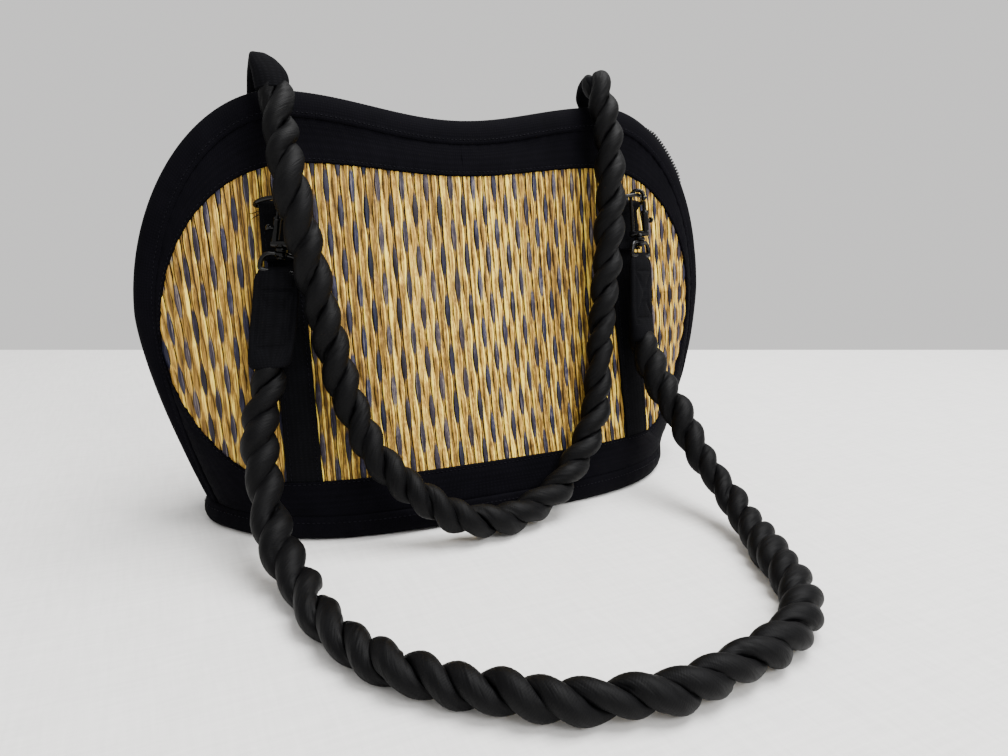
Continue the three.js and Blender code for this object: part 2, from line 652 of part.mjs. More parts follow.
// Sliding bolt with its thumb knob
function hookBolt(turn) {
  const rod = upright(BOLT.radius, BOLT.bottom, BOLT.top, JAW_RADIUS, 8);
  const stem = new THREE.CylinderGeometry(KNOB.stem, KNOB.stem, KNOB.reach, 8).rotateZ(Math.PI / 2);
  stem.translate(KNOB.reach / 2, 0, KNOB.z);
  const knob = new THREE.CylinderGeometry(KNOB.radius, KNOB.radius * 0.85, KNOB.thick, 10).rotateZ(-Math.PI / 2);
  knob.translate(KNOB.reach, 0, KNOB.z);
  [stem, knob].forEach((piece) => piece.rotateZ(THREE.MathUtils.degToRad(turn)).translate(JAW_RADIUS, 0, 0));
  return combined([rod, stem, knob]);
}

// Swivel eye that the tab is folded round
function eyeLoop() {
  const { topHalf, lowHalf, topZ, lowZ, wire } = EYE;
  const path = [[topHalf, topZ], [topHalf + 1.4, topZ - 0.6], [lowHalf, lowZ + 2], [lowHalf - 0.5, lowZ + 0.6],
    [lowHalf - 1.6, lowZ]].map(([x, z]) => vec(x, z, 0));
  const other = path.map((p) => vec(-p.x, p.y, 0)).reverse();
  return flatWire([...path, ...other], wire, 6, true).rotateX(Math.PI / 2);
}

function swivelEye() {
  const collar = upright(SWIVEL.radius, SWIVEL.bottom, SWIVEL.top);
  const bore = upright(SWIVEL.bore, SWIVEL.bottom - 1, SWIVEL.top + 1, 0, 8);
  return combined([eyeLoop(), collar], [bore]);
}

// Whole clasp as one plain piece, for the back handle: a closed link, a neck and an eye
function plainClasp({ jaw, eye }) {
  const path = [];
  for (let i = 0; i <= 6; i += 1) {
    const a = (Math.PI / 6) * i;
    path.push(vec(JAW_RADIUS * Math.cos(a), JAW_RADIUS * Math.sin(a) - JAW_DROP, 0));
  }
  path.push(vec(-JAW_RADIUS, SHANK_BOTTOM_Z, 0), vec(JAW_RADIUS, SHANK_BOTTOM_Z, 0));
  const loop = flatWire(path, JAW_WIRE, 6, true).rotateX(Math.PI / 2).applyMatrix4(jaw);
  const neck = upright(2.3, SWIVEL.bottom, SHANK_BOTTOM_Z, 0, 8).applyMatrix4(jaw);
  return combined([loop, neck, eyeLoop().applyMatrix4(eye)]);
}

// Middle line of a tab from the eye's bar to the rope: its place and its directions at a distance
function frontTabLine({ place, shankUp }, distance) {
  const { up, off } = ringFrame();
  const start = place.clone().addScaledVector(shankUp, EYE.lowZ);
  const along = up.clone().multiplyScalar(-Math.cos(FRONT_TAB_FALL)).addScaledVector(off, -Math.sin(FRONT_TAB_FALL));
  const thickness = off.clone().multiplyScalar(Math.cos(FRONT_TAB_FALL)).addScaledVector(up, -Math.sin(FRONT_TAB_FALL));
  return { point: start.addScaledVector(along, distance), thickness };
}

function backTabLine({ place, shankUp }, distance) {
  const { up, off } = ringFrame();
  const start = place.clone().addScaledVector(shankUp, EYE.lowZ);
  const { straight, foldRadius } = BACK_TAB;
  if (distance <= straight) return { point: start.addScaledVector(up, distance), thickness: off.clone() };
  const turn = (distance - straight) / foldRadius;
  const middle = start.addScaledVector(up, straight).addScaledVector(off, -foldRadius);
  const thickness = off.clone().multiplyScalar(Math.cos(turn)).addScaledVector(up, Math.sin(turn));
  return { point: middle.addScaledVector(thickness, foldRadius), thickness };
}

// Fabric tab: an eye round the clasp's bar, then a padded strap that sways and turns along its length
function tab(line, clasp, turn, { length, sway, soon, fullness }) {
  const { outward } = ringFrame();
  const at = (distance, lift, side) => {
    const { point, thickness } = line(clasp, distance);
    const t = clamp01(distance / length);
    const angle = THREE.MathUtils.degToRad(turn);
    const wide = side * fullness * Math.cos(angle) - lift * Math.sin(angle);
    const deep = side * fullness * Math.sin(angle) + lift * Math.cos(angle);
    return point.addScaledVector(outward, wide + sway * clamp01(soon * t) ** 1.3).addScaledVector(thickness, deep);
  };
  const strap = TAB_FORM.map(({ at: far, half, thick }) => {
    const distance = far < 20 ? far : 20 + (far - 20) * (length - 20) / (TAB_LENGTH - 20);
    const h = thick / 2;
    const edge = half - 1.2;
    const corners = [[-half, 0], [-edge, h], [0, h + 0.2], [edge, h], [half, 0], [edge, -h], [0, -h - 0.2], [-edge, -h]];
    return corners.map(([side, lift]) => at(distance, lift, side));
  });
  const flatSection = [[-1, 0], [-0.9, 1], [0, 1], [0.9, 1], [1, 0], [0.9, -1], [0, -1], [-0.9, -1]];
  const strapSolid = swept(strap, flatSection.map(([x, y]) => new THREE.Vector2(x, y)));
  const bar = clasp.eye.clone().setPosition(line(clasp, 0).point);
  const tube = (radius, half) => (
    new THREE.CylinderGeometry(radius, radius, 2 * half, 10).rotateZ(Math.PI / 2).applyMatrix4(bar)
  );
  const fold = tube(TAB_EYE.radius, TAB_EYE.halfWidth);
  return combined([strapSolid, fold], [tube(TAB_EYE.hole, TAB_EYE.halfWidth + 5)]);
}

// Plain tube along a rope's route
function rope(route) {
  const curve = new THREE.CatmullRomCurve3(route.map(([x, y, z]) => vec(x, y, z)), false, 'centripetal');
  const section = new THREE.Shape();
  for (let k = 0; k < ROPE_SIDES; k += 1) {
    const a = (2 * Math.PI * k) / ROPE_SIDES;
    const corner = [ROPE_RADIUS * Math.cos(a), ROPE_RADIUS * Math.sin(a)];
    if (k === 0) section.moveTo(...corner);
    else section.lineTo(...corner);
  }
  section.closePath();
  return cleaned(new THREE.ExtrudeGeometry(section, { steps: ROPE_STEPS, extrudePath: curve }));
}

// Assembly: pieces are shaped for the front right and mirrored to the other places
const bag = new THREE.Group();

function addPiece(name, geometry, look, side = RIGHT, face = FRONT) {
  const placed = cleaned(geometry.clone().scale(side, -face, 1));
  placed.computeVertexNormals();
  const mesh = new THREE.Mesh(placed, look);
  mesh.name = name;
  bag.add(mesh);
}

for (const [faceName, face] of [['front', FRONT], ['back', BACK]]) {
  addPiece(`${faceName}_reed_panel`, reedPanel(), REED_STRAW, RIGHT, face);
  addPiece(`${faceName}_border`, border(), BLACK_FABRIC, RIGHT, face);
  addPiece(`${faceName}_gusset`, gusset(), BLACK_FABRIC, RIGHT, face);
}
addPiece('zip_chain', zipChain(), BLACK_ZIP);
addPiece('zip_slider', zipSlider(), BLACK_METAL);
addPiece('base_tray', baseTray(), BLACK_FABRIC);

for (const [faceName, face] of [['front', FRONT], ['back', BACK]]) {
  const line = face === FRONT ? frontTabLine : backTabLine;
  for (const [sideName, side] of [['left', LEFT], ['right', RIGHT]]) {
    const place = `${faceName}_${sideName}`;
    addPiece(`${place}_band`, band(), BLACK_FABRIC, side, face);
    addPiece(`${place}_ring_loop`, ringLoop(), BLACK_FABRIC, side, face);
    addPiece(`${place}_d_ring`, dRing(place), BLACK_METAL, side, face);
    const clasp = CLASP_FRAMES[place];
    const turn = (CLASP[place] ?? CLASP.back).eyeTurn;
    if (face === FRONT) {
      addPiece(`${place}_hook`, hookBody(CLASP[place].turn).applyMatrix4(clasp.jaw), BLACK_METAL, side, face);
      addPiece(`${place}_bolt`, hookBolt(CLASP[place].turn).applyMatrix4(clasp.jaw), BLACK_METAL, side, face);
      addPiece(`${place}_eye`, swivelEye().applyMatrix4(clasp.eye), BLACK_METAL, side, face);
    } else {
      addPiece(`${place}_clasp`, plainClasp(clasp), BLACK_METAL, side, face);
    }
    addPiece(`${place}_tab`, tab(line, clasp, turn, TAB_POSE[place]), BLACK_FABRIC, side, face);
  }
}
addPiece('front_rope', rope(FRONT_ROPE), BLACK_CORD);
addPiece('back_rope', rope(BACK_ROPE), BLACK_CORD);

export default bag;
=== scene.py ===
import math

import bpy
import numpy as np
from mathutils import Matrix


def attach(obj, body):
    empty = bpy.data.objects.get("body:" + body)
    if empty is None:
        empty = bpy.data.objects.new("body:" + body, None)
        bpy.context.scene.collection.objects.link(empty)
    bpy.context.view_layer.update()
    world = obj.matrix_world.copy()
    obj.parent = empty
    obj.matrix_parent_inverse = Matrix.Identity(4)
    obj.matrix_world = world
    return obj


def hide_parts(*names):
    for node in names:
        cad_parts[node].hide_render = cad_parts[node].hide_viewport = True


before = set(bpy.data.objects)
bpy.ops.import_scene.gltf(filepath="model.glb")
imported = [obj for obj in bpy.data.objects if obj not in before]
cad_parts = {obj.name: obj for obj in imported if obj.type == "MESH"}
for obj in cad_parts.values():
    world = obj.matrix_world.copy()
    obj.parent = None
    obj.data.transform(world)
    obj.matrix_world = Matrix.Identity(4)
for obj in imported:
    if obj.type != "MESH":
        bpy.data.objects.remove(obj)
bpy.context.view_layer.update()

# The bag's sizes in millimetres, as in the part's source
MM = 0.001
BASE_SEAM_Z = 12.2
BASE_HALF_DEPTH = 62
EDGE_LOW = 9
EDGE_TOP = 7
DEPTH_FADE = 0.8
END_POWER = 3.55
END_ROOT = 1.37
SEAM = dict(
    dip=202.2, hump_x=97, hump_z=213.3, wide_x=165, wide_z=114.5,
    shoulder=1.91, corner_x=143.4, bottom=12.2, side=1.76,
)
RIDGE = dict(SEAM, dip=214.2, hump_z=225.3, wide_x=175, corner_x=147.5, side=1.46)
REED = dict(
    dip=183.3, hump_x=88, hump_z=189, wide_x=161, wide_z=96.3,
    shoulder=2.12, corner_x=113, bottom=30.1, corner=1.66,
)
REED_LEFT = dict(REED, wide_x=163.4, wide_z=100, corner=1.72)
ZIP_HALF_WIDTH = 2.9
SLIDER_Z = 36
BAND_INNER_X = {"left": 93.4, "right": 92.4}
BAND_OUTER_X = 110.5
BAND_TOP_Z = 160
RING_X = 104.2
RING_Z = 166.6
RING_LIFT = 5.2
RING_HALF_WIDTH = 10.3
RING_REACH = 9.2
RING_CORNER = 1.4
RING_WIRE = 1.1
RING_TILT = {"front_left": 14, "front_right": 26, "back_left": 62, "back_right": 62}
CLASP = {
    "front_left": dict(offset=-4.4, turn=-34, lean=2, swing=10, eye_turn=0),
    "front_right": dict(offset=2, turn=42, lean=2, swing=0, eye_turn=-20),
    "back_left": dict(offset=0, turn=90, lean=1.5, swing=0, eye_turn=0),
    "back_right": dict(offset=0, turn=90, lean=1.5, swing=0, eye_turn=0),
}
EYE_LOW_Z = -36.2
TAB_LENGTH = 51
TAB_FORM = {
    "front_left": [
        (0, 9.2, 3.6, 1.2), (1.5, 10.3, 4.3, 1.3), (4, 10.9, 4.8, 1.6), (10, 11.1, 5, 2.2),
        (17, 11.2, 5, 3.2), (24, 11.3, 5, 4.4), (31, 11.2, 5.2, 5.7), (36, 11, 6, 6.6),
        (40, 10.7, 8.2, 7.4), (43, 10.5, 11, 7.9), (45.2, 10.1, 13, 8.2), (46.4, 9.2, 13.2, 8.3),
        (47, 8.2, 12.6, 8.4),
    ],
    "front_right": [
        (0, 8.8, 3.6, -0.6), (1.5, 9.9, 4.3, -0.7), (4, 10.6, 4.8, -0.9), (10, 11, 5, -1.3),
        (17, 11.1, 5, -1.8), (24, 11.2, 5, -2.5), (31, 11.1, 5.2, -3.2), (37, 11, 6, -3.8),
        (42, 10.7, 8.4, -4.2), (46, 10.3, 11.4, -4.5), (49, 9.9, 13.2, -4.7), (50.4, 9, 13.4, -4.8),
        (51, 8, 12.8, -4.8),
    ],
    "back_left": [
        (0, 8, 3.4, 0), (4, 9, 4.6, -1), (12, 8.4, 5, -1.2), (20, 7.6, 5, -0.6), (27, 5, 5, 1.9),
        (33, 3.8, 5.4, 3.6), (38, 4, 6, 4.4), (44, 6.8, 7.6, 2.6), (48, 8.1, 9.6, 0.8),
        (51, 8.8, 11.6, 0), (55, 8.5, 13, -0.1), (57.5, 8.1, 13.4, -0.1),
    ],
    "back_right": [
        (0, 8, 3.4, 0), (4, 9.4, 4.6, -1.5), (10, 9.4, 5, -5), (18, 8.8, 5, -10.5), (26, 7.5, 5.5, -13),
        (33, 6.4, 6, -15), (40, 6.2, 7, -16), (46, 6, 8, -16), (51, 5.6, 8, -16),
    ],
}
FRONT_ROPE = [
    (-116, -43.6, 86.4), (-119.6, -46.5, 76.7), (-123.5, -50.5, 65.1), (-124.7, -57, 51.6),
    (-125, -67, 37.4), (-124.8, -79, 26.2), (-122.7, -93, 16.5), (-119.2, -108.7, 9.6),
    (-117, -130.4, 8.5), (-112.8, -150.5, 8.5), (-100.1, -179.8, 8.5), (-78.5, -201.9, 8.5),
    (-50.9, -221.5, 8.5), (-18.1, -231.1, 8.5), (15.5, -228.2, 8.5), (45.1, -221.3, 8.5),
    (70.2, -205.4, 8.5), (85.1, -181.3, 8.5), (96.3, -156.3, 9.2), (104.5, -133.4, 13),
    (107.7, -112, 22.8), (107, -94, 34.9), (106.5, -77, 51), (104.9, -64, 63), (103.8, -54, 75.1),
    (103.1, -46, 86),
]
BACK_ROPE = [
    (-101.2, -17.2, 223.4), (-101.5, -20, 216.8), (-101.7, -29.5, 201.1), (-101.5, -38.5, 186.1),
    (-100, -43, 172.2), (-96, -43.6, 149.1), (-91, -44.6, 124.9), (-86.3, -47.4, 100.2),
    (-80.9, -53, 75.3), (-72.4, -61, 51.6), (-62, -70, 36.8), (-48.1, -78.5, 23.9),
    (-35.2, -83, 15.6), (-22, -84.9, 10.6), (-3.7, -83, 8.5), (14.1, -78.5, 10.6),
    (31.8, -72, 17.4), (46.5, -65.5, 27.8), (58.5, -59.8, 42), (66.2, -54, 60.8),
    (71.5, -47.3, 88.6), (76.3, -41.3, 116.7), (81.1, -36.2, 145), (85.1, -31, 173.3),
    (86.8, -23.5, 204.4), (86.6, -15, 227.8), (86.8, -11.4, 234.8), (87.2, -5, 238),
]
# How full each rope is, by the distance along it
FRONT_FULLNESS = [
    (0, 1.04), (60, 1.06), (85, 1.14), (105, 1.06), (130, 0.98), (190, 0.96), (215, 0.91), (325, 0.89),
    (345, 0.99), (385, 1.06), (430, 1.02), (450, 0.98), (470, 0.87), (500, 0.95), (525, 1.1),
    (570, 1.08),
]
BACK_FULLNESS = [
    (0, 1), (60, 1.06), (190, 1.05), (350, 0.97), (410, 0.9), (450, 1.0), (500, 1.05), (560, 0.98),
]
# Half turns of each rope's strands at distances along it, as they lie in the photograph
FRONT_TURNS = [
    (0, 0.57), (21.2, 1.89), (53.1, 3.9), (75, 4.9), (112.5, 6.94), (141.2, 8.07), (162.5, 9.09),
    (196.2, 11.16), (239.4, 14.18), (286.2, 17.17), (336.2, 20.04), (408.8, 24.55), (466.2, 28.62),
    (513.8, 31.64), (570.6, 35.2),
]
BACK_TURNS = [
    (0, -0.15), (6.6, 0.15), (61.6, 3.15), (115.4, 6.15), (166.6, 9.14), (214.2, 12.15), (241.6, 14.12),
    (275.4, 16.02), (330.4, 18.9), (382.9, 21.87), (434.2, 24.87), (487.9, 27.87), (509.2, 28.87),
    (557, 31.8),
]

# Camera at the photograph's place
CAMERA_PLACE = (-0.1681, -0.4062, 0.1708)
CAMERA_TILT = math.radians(76.5)
CAMERA_HEADING = math.radians(-23.33)
camera_data = bpy.data.cameras.new("photo_camera")
camera_data.lens = 26.571
camera_data.sensor_width = 36
camera_data.shift_x = 0.0372
camera_data.clip_start = 0.01
camera = bpy.data.objects.new("photo_camera", camera_data)
camera.location = CAMERA_PLACE
camera.rotation_euler = (CAMERA_TILT, 0, CAMERA_HEADING)
bpy.context.collection.objects.link(camera)
bpy.context.scene.camera = camera


# Shader sockets that take part in sums
class Signal:
    def __init__(self, finish, socket):
        self.finish = finish
        self.socket = socket

    def sum(self, operation, other):
        return self.finish.node("ShaderNodeMath", {"operation": operation}, {0: self, 1: other})

    def __add__(self, other):
        return self.sum("ADD", other)

    def __sub__(self, other):
        return self.sum("SUBTRACT", other)

    def __mul__(self, other):
        return self.sum("MULTIPLY", other)


# A material and its nodes
class Finish:
    def __init__(self, name):
        self.material = bpy.data.materials.new(name)
        self.material.use_nodes = True
        self.tree = self.material.node_tree
        self.shader = self.tree.nodes["Principled BSDF"]

    def feed(self, socket, value):
        if isinstance(value, Signal):
            self.tree.links.new(value.socket, socket)
        else:
            socket.default_value = value

    def node(self, kind, settings, inputs, output=0):
        made = self.tree.nodes.new(kind)
        for key, value in settings.items():
            if key == "stops":
                ramp = made.color_ramp.elements
                while len(ramp) < len(value):
                    ramp.new(0.5)
                for stop, (position, colour) in zip(ramp, value):
                    stop.position = position
                    stop.color = colour
            else:
                setattr(made, key, value)
        for key, value in inputs.items():
            self.feed(made.inputs[key], value)
        return Signal(self, made.outputs[output])

    def surface(self, **inputs):
        for key, value in inputs.items():
            self.feed(self.shader.inputs[key.replace("_", " ")], value)
        return self.material

    def place(self, kind, scale=(1, 1, 1)):
        start = self.node("ShaderNodeTexCoord", {}, {}, {"UV": 2, "Object": 3}[kind])
        return self.node("ShaderNodeMapping", {}, {"Vector": start, "Scale": scale})

    def noise(self, place, scale, detail=3.0, roughness=0.5):
        inputs = {"Vector": place, "Scale": scale, "Detail": detail, "Roughness": roughness}
        return self.node("ShaderNodeTexNoise", {}, inputs)

    def bands(self, place, scale, direction="X"):
        settings = {"bands_direction": direction, "wave_profile": "SIN"}
        return self.node("ShaderNodeTexWave", settings, {"Vector": place, "Scale": scale})

    def mix(self, factor, first, second):
        return self.node("ShaderNodeMix", {"data_type": "RGBA"}, {0: factor, 6: first, 7: second}, 2)

    def ramp(self, value, *stops):
        return self.node("ShaderNodeValToRGB", {"stops": stops}, {"Fac": value})

    def spread(self, value, low, high, new_low, new_high):
        inputs = {0: value, 1: low, 2: high, 3: new_low, 4: new_high}
        return self.node("ShaderNodeMapRange", {}, inputs)

    def bump(self, height, strength, distance):
        inputs = {"Height": height, "Strength": strength, "Distance": distance}
        return self.node("ShaderNodeBump", {}, inputs)


# A colour as seen on a screen, turned to the linear values that a shader takes
def screen(red, green, blue):
    def linear(value):
        share = value / 255
        return share / 12.92 if share <= 0.04045 else ((share + 0.055) / 1.055) ** 2.4
    return (linear(red), linear(green), linear(blue), 1)


# Golden reeds, every third one dyed navy where it shows; the tone attribute holds each stem's tone with
# painted highlight and painted shade across the reed, the dye, and painted shade at the reed's edges and
# where it dips under a string
def reed_finish():
    reed = Finish("golden_reed")
    marks = reed.node("ShaderNodeAttribute", {"attribute_name": "tone"}, {}, 0)
    parts = {"Color": marks}
    # shade: each stem's tone, with a painted highlight on the side next to a dyed reed and painted shade on
    # the far side
    shade = reed.node("ShaderNodeSeparateColor", {}, parts, 0)
    dye = reed.node("ShaderNodeSeparateColor", {}, parts, 1)
    tuck = reed.node("ShaderNodeSeparateColor", {}, parts, 2)
    grain = reed.noise(reed.place("Object", (1, 1, 0.03)), 2300, 3, 0.6)
    blotch = reed.noise(reed.place("Object", (1, 1, 0.1)), 300, 2)
    streak = reed.noise(reed.place("Object", (1, 1, 0.07)), 1000, 2, 0.5)
    level = shade * 0.95 + grain * 0.5 + blotch * 0.3 + streak * 0.8 - 0.8
    straw = reed.ramp(
        level, (0.05, screen(50, 33, 12)), (0.32, screen(100, 73, 27)), (0.55, screen(143, 109, 47)),
        (0.78, screen(201, 160, 68)), (1.0, screen(255, 224, 92)),
    )
    navy = reed.ramp(
        level, (0.1, screen(6, 8, 20)), (0.5, screen(16, 21, 42)), (0.78, screen(38, 42, 68)),
        (1.0, screen(96, 90, 98)),
    )
    colour = reed.mix(dye, straw, navy)
    # Painted shade: the reeds' edges and the parts dipping under a string are mixed towards dark brown
    colour = reed.mix(tuck, colour, screen(24, 17, 9))
    normal = reed.bump(grain, 0.3, 0.0003)
    rough = reed.spread(grain, 0.3, 0.7, 0.4, 0.6)
    return reed.surface(Base_Color=colour, Roughness=rough, Normal=normal, Specular_IOR_Level=0.18)


# A wave texture's scale times the pitch of the threads it stands for
WEAVE_SCALE = 0.155


# Black cotton cloth: crossed threads on the piece's own lengths, a dusting of lint and soft wear
def cloth_finish(name, dark, light, pitch, roughness):
    cloth = Finish(name)
    flat = cloth.place("UV")
    warp = cloth.bands(flat, WEAVE_SCALE / pitch, "X")
    weft = cloth.bands(flat, WEAVE_SCALE / pitch, "Y")
    cross = warp * weft
    mottle = cloth.noise(cloth.place("Object"), 55, 4, 0.6)
    fuzz = cloth.noise(cloth.place("Object"), 1500, 2, 0.7)
    level = mottle * 0.55 + fuzz * 0.45 + cross * 0.25
    colour = cloth.ramp(level, (0.3, dark), (0.85, light))
    height = cross * 0.7 + fuzz * 0.5
    normal = cloth.bump(height, 0.5, 0.00018)
    rough = cloth.spread(fuzz, 0.3, 0.7, roughness - 0.08, roughness + 0.08)
    return cloth.surface(Base_Color=colour, Roughness=rough, Normal=normal, Specular_IOR_Level=0.04)


# Satin cover of the rope's strands: fine ribs round the strand and long soft wrinkles
def satin_finish():
    satin = Finish("satin_rope")
    around = satin.place("UV")
    ribs = satin.bands(around, 420, "X")
    wrinkle = satin.noise(satin.place("UV", (60, 420, 1)), 1, 3, 0.55)
    crease = satin.noise(satin.place("UV", (170, 260, 1)), 1, 2, 0.5)
    fuzz = satin.noise(satin.place("Object"), 2200, 2, 0.6)
    level = wrinkle * 0.5 + fuzz * 0.5
    colour = satin.ramp(level, (0.3, screen(1, 1, 2)), (0.75, screen(11, 11, 12)))
    height = wrinkle * 1.0 + crease * 0.6 + ribs * 0.05 + fuzz * 0.06
    normal = satin.bump(height, 0.5, 0.0011)
    rough = satin.spread(wrinkle, 0.3, 0.7, 0.5, 0.64)
    return satin.surface(Base_Color=colour, Roughness=rough, Normal=normal, Specular_IOR_Level=0.085)


# Black lacquered metal, a little worn and dusty
def metal_finish():
    metal = Finish("black_lacquer_metal")
    spots = metal.noise(metal.place("Object"), 900, 4, 0.65)
    colour = metal.ramp(spots, (0.45, screen(2, 2, 2)), (0.8, screen(11, 10, 11)))
    rough = metal.spread(spots, 0.3, 0.75, 0.12, 0.3)
    normal = metal.bump(spots, 0.08, 0.0002)
    return metal.surface(Base_Color=colour, Roughness=rough, Normal=normal, Specular_IOR_Level=0.22)


# Black nylon of the zip's teeth
def nylon_finish():
    nylon = Finish("black_nylon")
    spots = nylon.noise(nylon.place("Object"), 700, 3, 0.6)
    colour = nylon.ramp(spots, (0.35, screen(7, 7, 10)), (0.75, screen(22, 22, 26)))
    rough = nylon.spread(spots, 0.3, 0.7, 0.32, 0.5)
    return nylon.surface(Base_Color=colour, Roughness=rough, Specular_IOR_Level=0.2)


# Pale table cloth
def table_finish():
    table = Finish("pale_table")
    slub = table.noise(table.place("Object", (1, 0.08, 1)), 420, 3, 0.6)
    cross = table.noise(table.place("Object", (0.08, 1, 1)), 420, 3, 0.6)
    level = slub * 0.5 + cross * 0.5
    colour = table.ramp(level, (0.35, screen(226, 225, 223)), (0.65, screen(238, 237, 235)))
    normal = table.bump(level, 0.15, 0.0004)
    return table.surface(Base_Color=colour, Normal=normal, Roughness=0.85, Specular_IOR_Level=0.2)


REED_LOOK = reed_finish()
CLOTH_LOOK = cloth_finish("black_cloth", screen(2, 2, 4), screen(9, 8, 13), 0.0006, 0.86)
STRAP_LOOK = cloth_finish("black_strap", screen(3, 3, 4), screen(13, 13, 16), 0.0007, 0.82)
THREAD_LOOK = cloth_finish("black_thread", screen(7, 7, 10), screen(26, 25, 31), 0.0003, 0.6)
SATIN_LOOK = satin_finish()
METAL_LOOK = metal_finish()
NYLON_LOOK = nylon_finish()
TABLE_LOOK = table_finish()


# Half the bag's thickness at its outer seam
def edge_depth(z):
    share = np.clip((z - BASE_SEAM_Z) / (SEAM["hump_z"] - BASE_SEAM_Z), 0, 1)
    return EDGE_LOW + (EDGE_TOP - EDGE_LOW) * share


# Half the seam's width at a height
def seam_half_width(z):
    rise = np.clip((z - SEAM["wide_z"]) / (SEAM["hump_z"] - SEAM["wide_z"]), 0, 1)
    fall = np.clip((SEAM["wide_z"] - z) / (SEAM["wide_z"] - SEAM["bottom"]), 0, 1)
    power = SEAM["shoulder"]
    upper = SEAM["hump_x"] + (SEAM["wide_x"] - SEAM["hump_x"]) * (1 - rise ** power) ** (1 / power)
    lower = SEAM["wide_x"] - (SEAM["wide_x"] - SEAM["corner_x"]) * fall ** SEAM["side"]
    return np.where(z > SEAM["wide_z"], upper, lower)


# How far the front panel stands in front of the bag's middle plane
def front_depth(x, z):
    share = np.clip((z - BASE_SEAM_Z) / (SEAM["dip"] - BASE_SEAM_Z), 0, 1)
    bulge = (BASE_HALF_DEPTH - EDGE_LOW) * (1 - share ** DEPTH_FADE)
    side = np.clip(np.abs(x) / seam_half_width(z), 0, 1)
    return edge_depth(z) + bulge * (1 - side ** END_POWER) ** (1 / END_ROOT)


def unit(vectors):
    vectors = np.asarray(vectors, float)
    return vectors / np.linalg.norm(vectors, axis=-1, keepdims=True)


# Share of the seam's width that normals are taken within, and the height over which their tilt sets in
NORMAL_REACH = 0.985
TILT_RISE = 10


# Unit normal of the front panel, pointing into the bag
def inward(x, z):
    x = np.asarray(x, float)
    z = np.asarray(z, float)
    limit = NORMAL_REACH * seam_half_width(z)
    at = np.clip(x, -limit, limit)
    height = np.maximum(z, BASE_SEAM_Z + 2)
    slope_x = front_depth(at + 0.5, height) - front_depth(at - 0.5, height)
    slope_z = front_depth(at, height + 0.5) - front_depth(at, height - 0.5)
    level = np.clip((z - BASE_SEAM_Z) / TILT_RISE, 0, 1)
    return unit(np.stack([slope_x, np.ones_like(slope_x), slope_z * level], axis=-1))


def on_panel(x, z, lift=0.0):
    x = np.asarray(x, float)
    z = np.asarray(z, float)
    lift = np.asarray(lift, float)[..., None]
    flat = np.stack([x, -front_depth(x, z), z], axis=-1)
    return flat - inward(x, z) * lift


# Right half of an outline, from the dip in the top's middle to the bottom's middle
def half_outline(form, steps):
    top, shoulder, side, bottom = steps
    share = np.arange(top) / top
    rise = form["dip"] + (form["hump_z"] - form["dip"]) * (1 - np.cos(np.pi * share)) / 2
    points = [np.stack([form["hump_x"] * share, rise], axis=1)]
    angle = np.pi / 2 * np.arange(shoulder) / shoulder
    power = 2 / form["shoulder"]
    x = form["hump_x"] + (form["wide_x"] - form["hump_x"]) * np.sin(angle) ** power
    z = form["wide_z"] + (form["hump_z"] - form["wide_z"]) * np.cos(angle) ** power
    points.append(np.stack([x, z], axis=1))
    share = np.arange(side) / side
    drop = form["wide_z"] - form["bottom"]
    pull = form["wide_x"] - form["corner_x"]
    if "corner" in form:
        angle = np.pi / 2 * share
        x = form["corner_x"] + pull * np.cos(angle) ** (2 / form["corner"])
        z = form["wide_z"] - drop * np.sin(angle) ** (2 / form["corner"])
    else:
        x = form["wide_x"] - pull * share ** form["side"]
        z = form["wide_z"] - drop * share
    points.append(np.stack([x, z], axis=1))
    x = form["corner_x"] * np.cos(np.pi / 2 * np.arange(bottom + 1) / bottom)
    points.append(np.stack([x, np.full(bottom + 1, form["bottom"])], axis=1))
    return np.concatenate(points)


FINE = (60, 90, 90, 80)
MIRROR_X = np.array([-1, 1])


# Whole closed outline, its first point repeated at the end
def whole_outline(form):
    half = half_outline(form, FINE)
    left = half_outline(REED_LEFT, FINE) if form is REED else half
    return np.concatenate([half, (left * MIRROR_X)[-2::-1]])


# Outline without its bottom line, from the left foot over the top to the right foot
def arch_outline(form):
    half = half_outline(form, FINE)[: sum(FINE[:3]) + 1]
    return np.concatenate([(half * MIRROR_X)[:0:-1], half])


def run_along(points):
    steps = np.linalg.norm(np.diff(points, axis=0), axis=1)
    return np.concatenate([[0], np.cumsum(steps)])


# Points on a plane across the bag, from their places across and up
def upright(x, z, y=0.0):
    return np.stack([x, np.full(len(x), y), z], axis=1)


# The right side hangs fuller low down: how far its cloth stands out, by height
RIGHT_SWELL = np.array([(12, 0), (22, 2.5), (36, 5), (55, 5.8), (80, 4.4), (104, 2.2), (122, 0.8), (140, 0)])
SWELL_FROM_X = 112
SWELL_RUN = 30


def hung_out(points, share=1.0):
    points = np.array(points, float)
    out = np.interp(points[..., 2], RIGHT_SWELL[:, 0], RIGHT_SWELL[:, 1])
    points[..., 0] += out * np.clip((points[..., 0] - SWELL_FROM_X) / SWELL_RUN, 0, 1) * share
    return points


# Even places along a line of points, with a spacing near the one asked for
def spaced(points, spacing, margin=0.0):
    run = run_along(points)
    count = max(2, int(round((run[-1] - 2 * margin) / spacing)))
    at = np.linspace(margin, run[-1] - margin, count)
    return np.stack([np.interp(at, run, points[:, k]) for k in range(points.shape[1])], axis=1)


# A run of values with its corners worn off
def smoothed(values, width):
    padded = np.pad(values, width // 2, mode="reflect", reflect_type="odd")
    return np.convolve(padded, np.ones(width) / width, mode="valid")


# Finishing shared by all pieces
def finished(obj, look, body="bag", replaced=()):
    obj.data.materials.clear()
    obj.data.materials.append(look)
    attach(obj, body)
    if replaced:
        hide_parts(*replaced)
    return obj


def chosen(obj):
    bpy.ops.object.select_all(action="DESELECT")
    obj.select_set(True)
    bpy.context.view_layer.objects.active = obj


